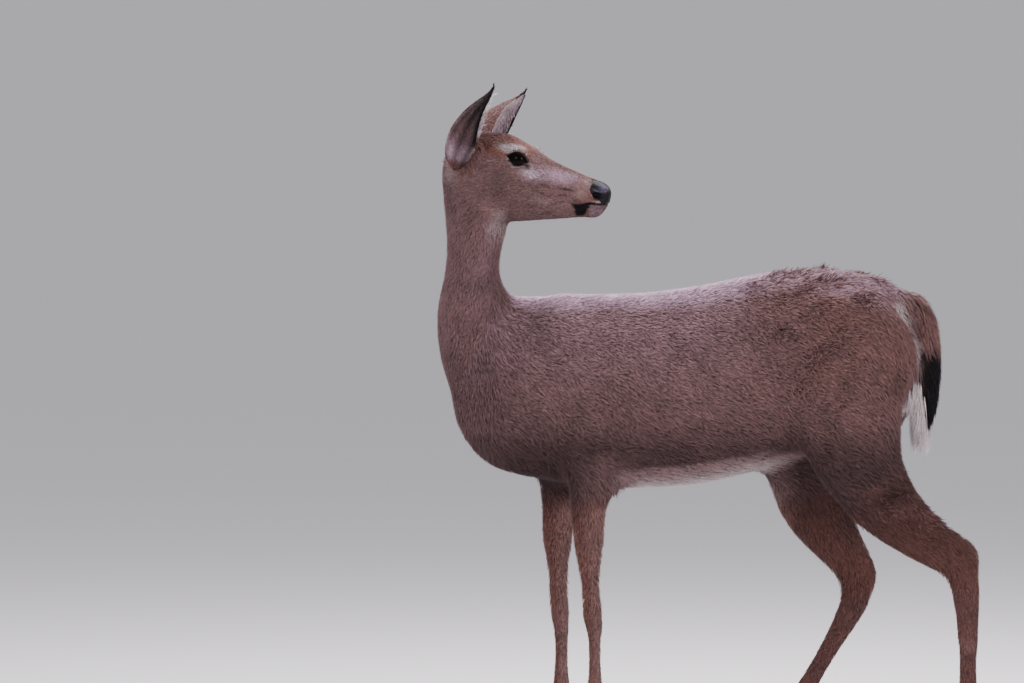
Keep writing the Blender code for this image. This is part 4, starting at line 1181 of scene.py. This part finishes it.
# by part: length, width, depth of the coat that they fill, roots to the square metre
LOCKS = {
    "head": (0.0095, 0.00125, 0.0020, 330e3),
    "neck": (0.0155, 0.00140, 0.0066, 205e3),
    "trunk": (0.0195, 0.00195, 0.0078, 120e3),
    "tail": (0.0360, 0.00240, 0.0095, 120e3),
    "upper": (0.0165, 0.00180, 0.0058, 120e3),
    "lower": (0.0125, 0.00150, 0.0028, 150e3),
    "ear": (0.0085, 0.00120, 0.0010, 230e3),
}
# how deep a lock is rooted in the skin, and the size of its patch on the skin's unwrap, OFBake
ROOTED = 0.0012
BAKE_PATCH = 0.003


def long_axis(name):
    """The way a limb runs, downwards: the direction in which its node's corners spread the most."""
    corners = corners_of(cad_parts[name].data)
    axis = np.linalg.svd(corners - corners.mean(axis=0), full_matrices=False)[2][0]
    return axis * -np.sign(axis[2])


def onto_skin(ways):
    """Directions laid flat on the skin and made one long."""
    return unit(ways - (ways * normals).sum(axis=1, keepdims=True) * normals)


def blend(share, first, second):
    """The first direction where the share is 0 and the second where it is 1."""
    return (1 - share[:, None]) * first + share[:, None] * second


trunk_lie = blend(soft(np.abs(to_left), 0.25, 0.8), BACK_LIE, SIDE_LIE)
trunk_lie = blend(soft(to_rear, 0.20, 0.60), trunk_lie, STERN_LIE)
trunk_lie = blend(soft(x, -0.36, -0.43), trunk_lie, CHEST_LIE)
ways = {"head": -forward, "neck": unit(NECK_LIE), "trunk": unit(trunk_lie)}
lie = sum(kin(name)[:, None] * (ways[name] if name in ways else long_axis(name)) for name in PARTS)
lie = unit(lie)
for _ in range(3):
    lie = unit(relaxed(onto_skin(lie), ends, 14, 0.5))
for number, (root, tip) in enumerate(ear_lines, 1):
    lie[ear_of == number] = unit(tip - root)
lie = onto_skin(lie)

# the corner that lies one step further along the coat, and from it the skin's turn under a lock
one, other = np.vstack((ends, ends[:, ::-1])).T
onward_share = (unit(places[other] - places[one]) * lie[one]).sum(axis=1)
order = np.lexsort((onward_share, one))
last = np.append(np.flatnonzero(np.diff(one[order])), len(one) - 1)
onward = np.arange(len(places))
onward[one[order][last]] = other[order][last]
two_on = onward[onward]
short_stride = ((head_share + lowers > 0.5) | at_ear) & (head_share <= 0.5)
far = np.where(short_stride, two_on, two_on[two_on])
far_lie, far_normals = lie[far], normals[far]

# the skin's own unwrap, and its triangles for strewing roots over them
bpy.context.view_layer.objects.active = skin
skin.select_set(True)
bpy.ops.object.mode_set(mode="EDIT")
bpy.ops.mesh.select_all(action="SELECT")
bpy.ops.uv.smart_project(angle_limit=radians(66), island_margin=0.002)
bpy.ops.object.mode_set(mode="OBJECT")
skin.select_set(False)
skin_mesh = skin.data
skin_mesh.uv_layers.active.name = "OFBake"
unwrap = read(skin_mesh.uv_layers["OFBake"].data, "uv", 2)
skin_mesh.calc_loop_triangles()
triangle = read(skin_mesh.loop_triangles, "vertices", 3, np.int32)
triangle_loops = read(skin_mesh.loop_triangles, "loops", 3, np.int32)
first_corner, second_corner, third_corner = (places[triangle[:, k]] for k in range(3))
area = np.linalg.norm(np.cross(second_corner - first_corner, third_corner - first_corner), axis=1) / 2

lock_table = np.array([by_part(LOCKS, name) for name in (*PARTS, "ear")])
shares = np.column_stack((kinship, at_ear.astype(float)))
lock_sizes = shares @ lock_table / shares.sum(axis=1, keepdims=True)
muzzle = soft(ahead, 0.02, 0.12) * head_share
foot = soft(z, 0.16, 0.11) * ~at_ear
lids = by_eye * soft(from_lid, radians(-6), radians(-3)) * head_share
bare_skin = most(pad, lids, at_ear * ear_inside * 0.85)
in_hollow = by_eye * soft(from_lid, radians(0), radians(2)) * head_share
lock_sizes[:, :3] *= 1 - muzzle[:, None] * (0.52, 0.25, 0.50)
lock_sizes[:, 2] *= 1 - 0.45 * foot
lock_sizes[:, 3] *= (1 + 0.55 * muzzle) * (1 - soft(bare_skin, 0.3, 0.8)) * (1 - in_hollow)
lock_sizes[:, 3] *= ~(at_ear & (ear_share < -0.13))
lock_sizes[:, 3] *= 1 + 0.5 * foot
ruffled = most(
    trunk * soft(x, 0.05, 0.12) * soft(waves(places, 0.09, 5), 0.35, 0.9) * soft(z, 0.60, 0.70),
    hind * soft(z, 0.44, 0.50) * soft(z, 0.60, 0.54) * soft(waves(places, 0.06, 6), 0.1, 0.7),
)


def strewn(thickly, seed):
    """Roots spread over the skin: each triangle gets its area times its density, rounded by chance.
    Gives each root's triangle, its shares of the three corners, and the dice for what follows."""
    dice = np.random.default_rng(seed)
    wanted = area * thickly[triangle].mean(axis=1)
    number = np.floor(wanted + dice.random(len(wanted))).astype(int)
    chosen = np.repeat(np.arange(len(wanted)), number)
    a, b = dice.random((2, len(chosen)))
    over = a + b > 1
    a, b = np.where(over, 1 - a, a), np.where(over, 1 - b, b)
    return chosen, np.stack((1 - a - b, a, b), axis=1), dice


def gathered(tips, size, pull):
    """Tips drawn towards the middle of those in the same small cell, so that hair parts in locks."""
    cell = np.floor(tips / size + 0.35 * np.sin(tips[:, [1, 2, 0]] * 170)).astype(np.int64)
    _, group = np.unique(cell @ np.array((1, 4099, 16785407)), return_inverse=True)
    count = np.bincount(group)
    middle = np.stack([np.bincount(group, tips[:, k]) / count for k in range(3)], axis=1)
    return tips + pull * (middle[group] - tips)


def lock_pattern(rings):
    """Triangles of one lock: three at the root, two on each side between rings, three at the tip."""
    pattern = [(0, 2, 1), (0, 3, 2), (0, 1, 3)]
    for first in range(1, 3 * rings - 2, 3):
        for a, b in ((0, 1), (1, 2), (2, 0)):
            pattern += [(first + a, first + b, first + 3 + b), (first + a, first + 3 + b, first + 3 + a)]
    left, ridge, right, tip = range(3 * rings - 2, 3 * rings + 2)
    return np.array(pattern + [(left, ridge, tip), (ridge, right, tip), (right, left, tip)])


def grow(name, thickly, seed, rings=1, length=1.0, width=1.0, rise=1.0, stray=0.16, curl=0.10, pull=0.30,
         colour=None, lies=None):
    """A piece of coat. A lock starts just under the skin, runs along the lie with the skin's turn
    under it, lifts to the coat's depth and ends in a point. Between root and tip it has one or two
    rings of three corners: left edge, ridge and right edge."""
    chosen, share, dice = strewn(thickly, seed)
    count = len(chosen)

    def at_roots(values):
        """Values of the skin's corners, taken at the roots."""
        picked = values[triangle[chosen]]
        return (picked * share.reshape(share.shape + (1,) * (values.ndim - 1))).sum(axis=1)

    place, normal = at_roots(places), unit(at_roots(normals))
    size, ruffle = at_roots(lock_sizes), at_roots(ruffled)
    way = unit(at_roots(lie if lies is None else lies))
    way_far = unit(at_roots(far_lie)) if lies is None else way
    normal_far = unit(at_roots(far_normals))
    turn = stray * dice.normal(size=count)
    turn = turn + curl * 2.2 * waves(place, 0.045, 11) + curl * waves(place, 0.013, 12)
    turn = (turn + ruffle * 0.9 * dice.normal(size=count))[:, None]
    beside = np.cross(normal, way)
    way = unit(np.cos(turn) * way + np.sin(turn) * beside)
    way_far = unit(way_far + np.sin(turn) * beside)
    beside = np.cross(normal, way)
    long = length * size[:, 0] * dice.uniform(0.70, 1.25, count) * (1 - 0.2 * ruffle)
    wide = width * size[:, 1] * dice.uniform(0.75, 1.25, count)
    high = rise * size[:, 2] * dice.uniform(0.45, 1.05, count) * (1 + 0.7 * ruffle)
    long, wide, high = long[:, None], wide[:, None], high[:, None]
    reach = long * unit(0.45 * way + 0.55 * way_far)
    tip = gathered(place + reach + normal_far * high, 4.2 * size[:, 1].mean() * width, pull)
    drawn = tip - place - reach - normal_far * high
    root = place - normal * np.minimum(ROOTED, size[:, 2] * 0.5)[:, None]
    steps = (0.42,) if rings == 1 else (0.28, 0.66)
    body = [root[:, None]]
    for step in steps:
        middle = place + step * long * unit(way + step * 0.6 * (way_far - way)) + drawn * step**1.5
        lift = unit(normal + step * (normal_far - normal))
        middle = middle + lift * (high * (0.62 * step + 0.10))
        half, ridge = wide * (0.5 if step < 0.5 else 0.36), middle + wide * 0.30 * lift
        body.append(np.stack((middle - half * beside, ridge, middle + half * beside), axis=1))
    corners = np.concatenate((*body, tip[:, None]), axis=1)
    per_lock = corners.shape[1]
    pattern = lock_pattern(rings)
    faces = (np.arange(count)[:, None, None] * per_lock + pattern).reshape(-1, 3)
    mesh = mesh_from(name, corners.reshape(-1, 3), faces)
    marks = at_roots(markings) if colour is None else np.tile(np.array(colour, float), (count, 1))
    carry(mesh, "markings", np.repeat(marks, per_lock, axis=0))
    along = np.concatenate(([0.0], np.repeat(steps, 3), [1.0]))
    chance = np.clip(dice.normal(0.5, 0.22, count) - 0.35 * ruffle * dice.random(count), 0, 1)
    strand = np.zeros((count, per_lock, 4))
    strand[..., 0], strand[..., 1], strand[..., 2] = along, chance[:, None], ruffle[:, None]
    carry(mesh, "strand", strand)
    across = np.concatenate(([0.5], np.tile((0.0, 0.5, 1.0), len(steps)), [0.5]))
    patch = np.stack((across, along), axis=1)[pattern.ravel()] - 0.5
    at = (unwrap[triangle_loops[chosen]] * share[..., None]).sum(axis=1)
    spread = at[:, None] + patch * BAKE_PATCH
    layer = mesh.uv_layers.new(name="OFBake")
    layer.data.foreach_set("uv", spread.astype(np.float32).ravel())
    piece = shown(name, mesh, coat_finish.material)
    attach(piece, "root")


coat_finish = Finish("coat_hair", Roughness=0.62, Specular_IOR_Level=0.16)
hair_along, hair_chance, _, _ = coat_finish.attribute("strand")
coat_finish.wire("Base Color", hair_colour(coat_finish, hair_along, hair_chance))
coat_finish.wire("Roughness", 0.70 - hair_along * 0.14)
coat_finish.bump(coat_finish.noise(1400.0, 2.0), 0.25, 0.0003)

at_head, at_neck, at_trunk, at_tail = (part == number for number in range(4))
at_legs = (part > PARTS.index("tail")) & ~at_ear
# name, where it grows, seed
for name, where, seed in (
    ("coat_face", at_head & (ahead > -0.02), 1),
    ("coat_crown", at_head & (ahead <= -0.02), 2),
    ("coat_neck", at_neck, 3),
    ("coat_shoulders", at_trunk & (x < -0.22), 4),
    ("coat_ribs", at_trunk & (x >= -0.22) & (x < -0.04), 5),
    ("coat_flanks", at_trunk & (x >= -0.04) & (x < 0.13), 6),
    ("coat_rump", at_trunk & (x >= 0.13) & (z >= 0.72), 16),
    ("coat_thighs", at_trunk & (x >= 0.13) & (z < 0.72), 17),
    ("coat_forelegs", at_legs & (x < -0.05), 7),
    ("coat_hindlegs", at_legs & (x >= -0.05), 8),
    ("coat_ears", at_ear, 9),
):
    grow(name, lock_sizes[:, 3] * where, seed)

# The tail hangs down: brown and black long hair on its back, over a fringe of longer white hair
# from its underside and edges. Colours are pale, dark, red and grey, as in the markings.
SNOW = (0.75, 0.05, 0.0, 0.5)
EAR_WHITE = (0.95, 0.0, 0.0, 0.5)
INK = (0.0, 0.95, 0.0, 0.0)
RUFFLED_BROWN = (0.0, 0.44, 0.6, 0.10)
grow("coat_tail", lock_sizes[:, 3] * at_tail * (tail_back > 0.5), 21, rings=2, stray=0.06, curl=0.06)
hanging = np.tile(unit(long_axis("tail") + (-0.10, 0.0, 0.0)), (len(places), 1))
fringe = at_tail * (tail_back <= 0.5) * (z < 0.72) * soft(-to_top, 0.92, 0.75)
grow("tail_fringe", 230e3 * fringe, 22, rings=2, length=1.35, width=0.62, stray=0.08, curl=0.06, pull=0.20,
     colour=SNOW, lies=hanging)

# Lashes stand out from the upper lids; a few long stiff hairs grow on the muzzle and chin.
lifts = [eye_axes(side)[2] @ head_turn for side in (1, -1)]
lash_lie = onto_skin(np.where(aside[:, None] > 0, *lifts))
upper_edge = head_share * by_eye * (over > 0) * bell(from_lid, radians(-3.0), radians(1.6))
upper_edge *= soft(along, radians(-70), radians(-45))
grow("lashes", 1.6e6 * upper_edge, 26, rings=2, length=0.85, width=0.34, rise=3.2, curl=0.0, pull=0.0,
     colour=INK, lies=lash_lie)
bristly = soft(ahead, 0.100, 0.125) + 0.5 * soft(-above, 0.025, 0.045) * soft(ahead, 0.02, 0.06)
bristly *= head_share * (1 - pad)
bristly *= soft(above, 0.014, 0.006)
grow("whiskers", 9e3 * bristly, 27, rings=2, length=4.0, width=0.26, rise=8.0, stray=0.35, curl=0.0,
     pull=0.0, colour=INK)

# Longer hair falls over the tops of the hooves.
hoof_tops = lowers * soft(z, 0.075, 0.055) * soft(-to_top, 0.9, 0.5)
for middle in dewclaws:
    from_claw = np.linalg.norm(places - (middle + (0.0, 0.0, 0.012)), axis=1)
    hoof_tops = most(hoof_tops, soft(from_claw, 0.020, 0.012))
grow("coat_hoof_tops", 260e3 * hoof_tops, 25, length=1.35, rise=1.2, stray=0.10, curl=0.06, pull=0.35)

# Ruffled tufts on the croup and above the hock stand out from the coat, darker than it.
croup = soft(x, 0.02, 0.10) * soft(x, 0.36, 0.28) * soft(to_top, 0.15, 0.60)
croup = at_trunk * (croup + 0.35 * soft(x, 0.08, 0.14) * soft(z, 0.74, 0.82))
croup = croup * soft(waves(places, 0.055, 31), 0.15, 0.75)
crest = 1.1 * at_trunk * (waves(places, 0.03, 32) > 0.15) * soft(z, 0.862, 0.895) * soft(x, 0.06, 0.12)
above_hock = hock_patch * soft(waves(places, 0.035, 33), 0.0, 0.5)
tufts = 46e3 * (croup + crest * soft(x, 0.30, 0.22)) + 95e3 * above_hock
grow("ruffled_tufts", tufts, 23, rings=2, length=0.95, width=1.2, rise=1.7, stray=0.5, curl=0.25, pull=0.6,
     colour=RUFFLED_BROWN)

# Fine white hair fills the inside of each ear, from its edges inwards and up from the root.
across_ear = np.abs(ear_angle)
fringe = at_ear * ear_inside * soft(ear_share, 0.06, 0.22) * soft(ear_share, 0.95, 0.80)
from_edges = 0.20 + 1.1 * soft(ear_angle, 0.40, 0.75) + 0.3 * soft(ear_angle, -0.4, -0.7)
fringe *= from_edges * soft(across_ear, 0.99, 0.90)
fringe *= 1 - root_inside
inwards = np.cross(normals, lie) * -np.sign(ear_angle)[:, None] * at_ear[:, None]
inner_lie = onto_skin(lie + 0.55 * inwards * soft(across_ear, 0.2, 0.7)[:, None])
grow("ear_fringe", 170e3 * fringe, 24, rings=2, length=1.45, width=0.70, rise=1.8, stray=0.12, pull=0.25,
     colour=EAR_WHITE, lies=inner_lie)

# Tufts from the head stand round the root of each ear and hide the join.
round_roots = np.zeros(len(places))
tuft_lie = lie.copy()
for root, tip in ear_lines:
    up_ear = (places - root) @ unit(tip - root)
    beside_ear = np.linalg.norm(places - root - up_ear[:, None] * unit(tip - root), axis=1)
    ring = bell(beside_ear, 0.028, 0.012) * soft(up_ear, 0.045, 0.02) * soft(up_ear, -0.035, -0.02)
    ring = ring * ~at_ear
    round_roots = most(round_roots, ring)
    tuft_lie += 1.6 * ring[:, None] * unit(tip - root)
grow("ear_root_tufts", 260e3 * round_roots * kin("head", "neck"), 28, rings=2, length=1.45, rise=2.4,
     stray=0.14, pull=0.35, lies=onto_skin(tuft_lie))
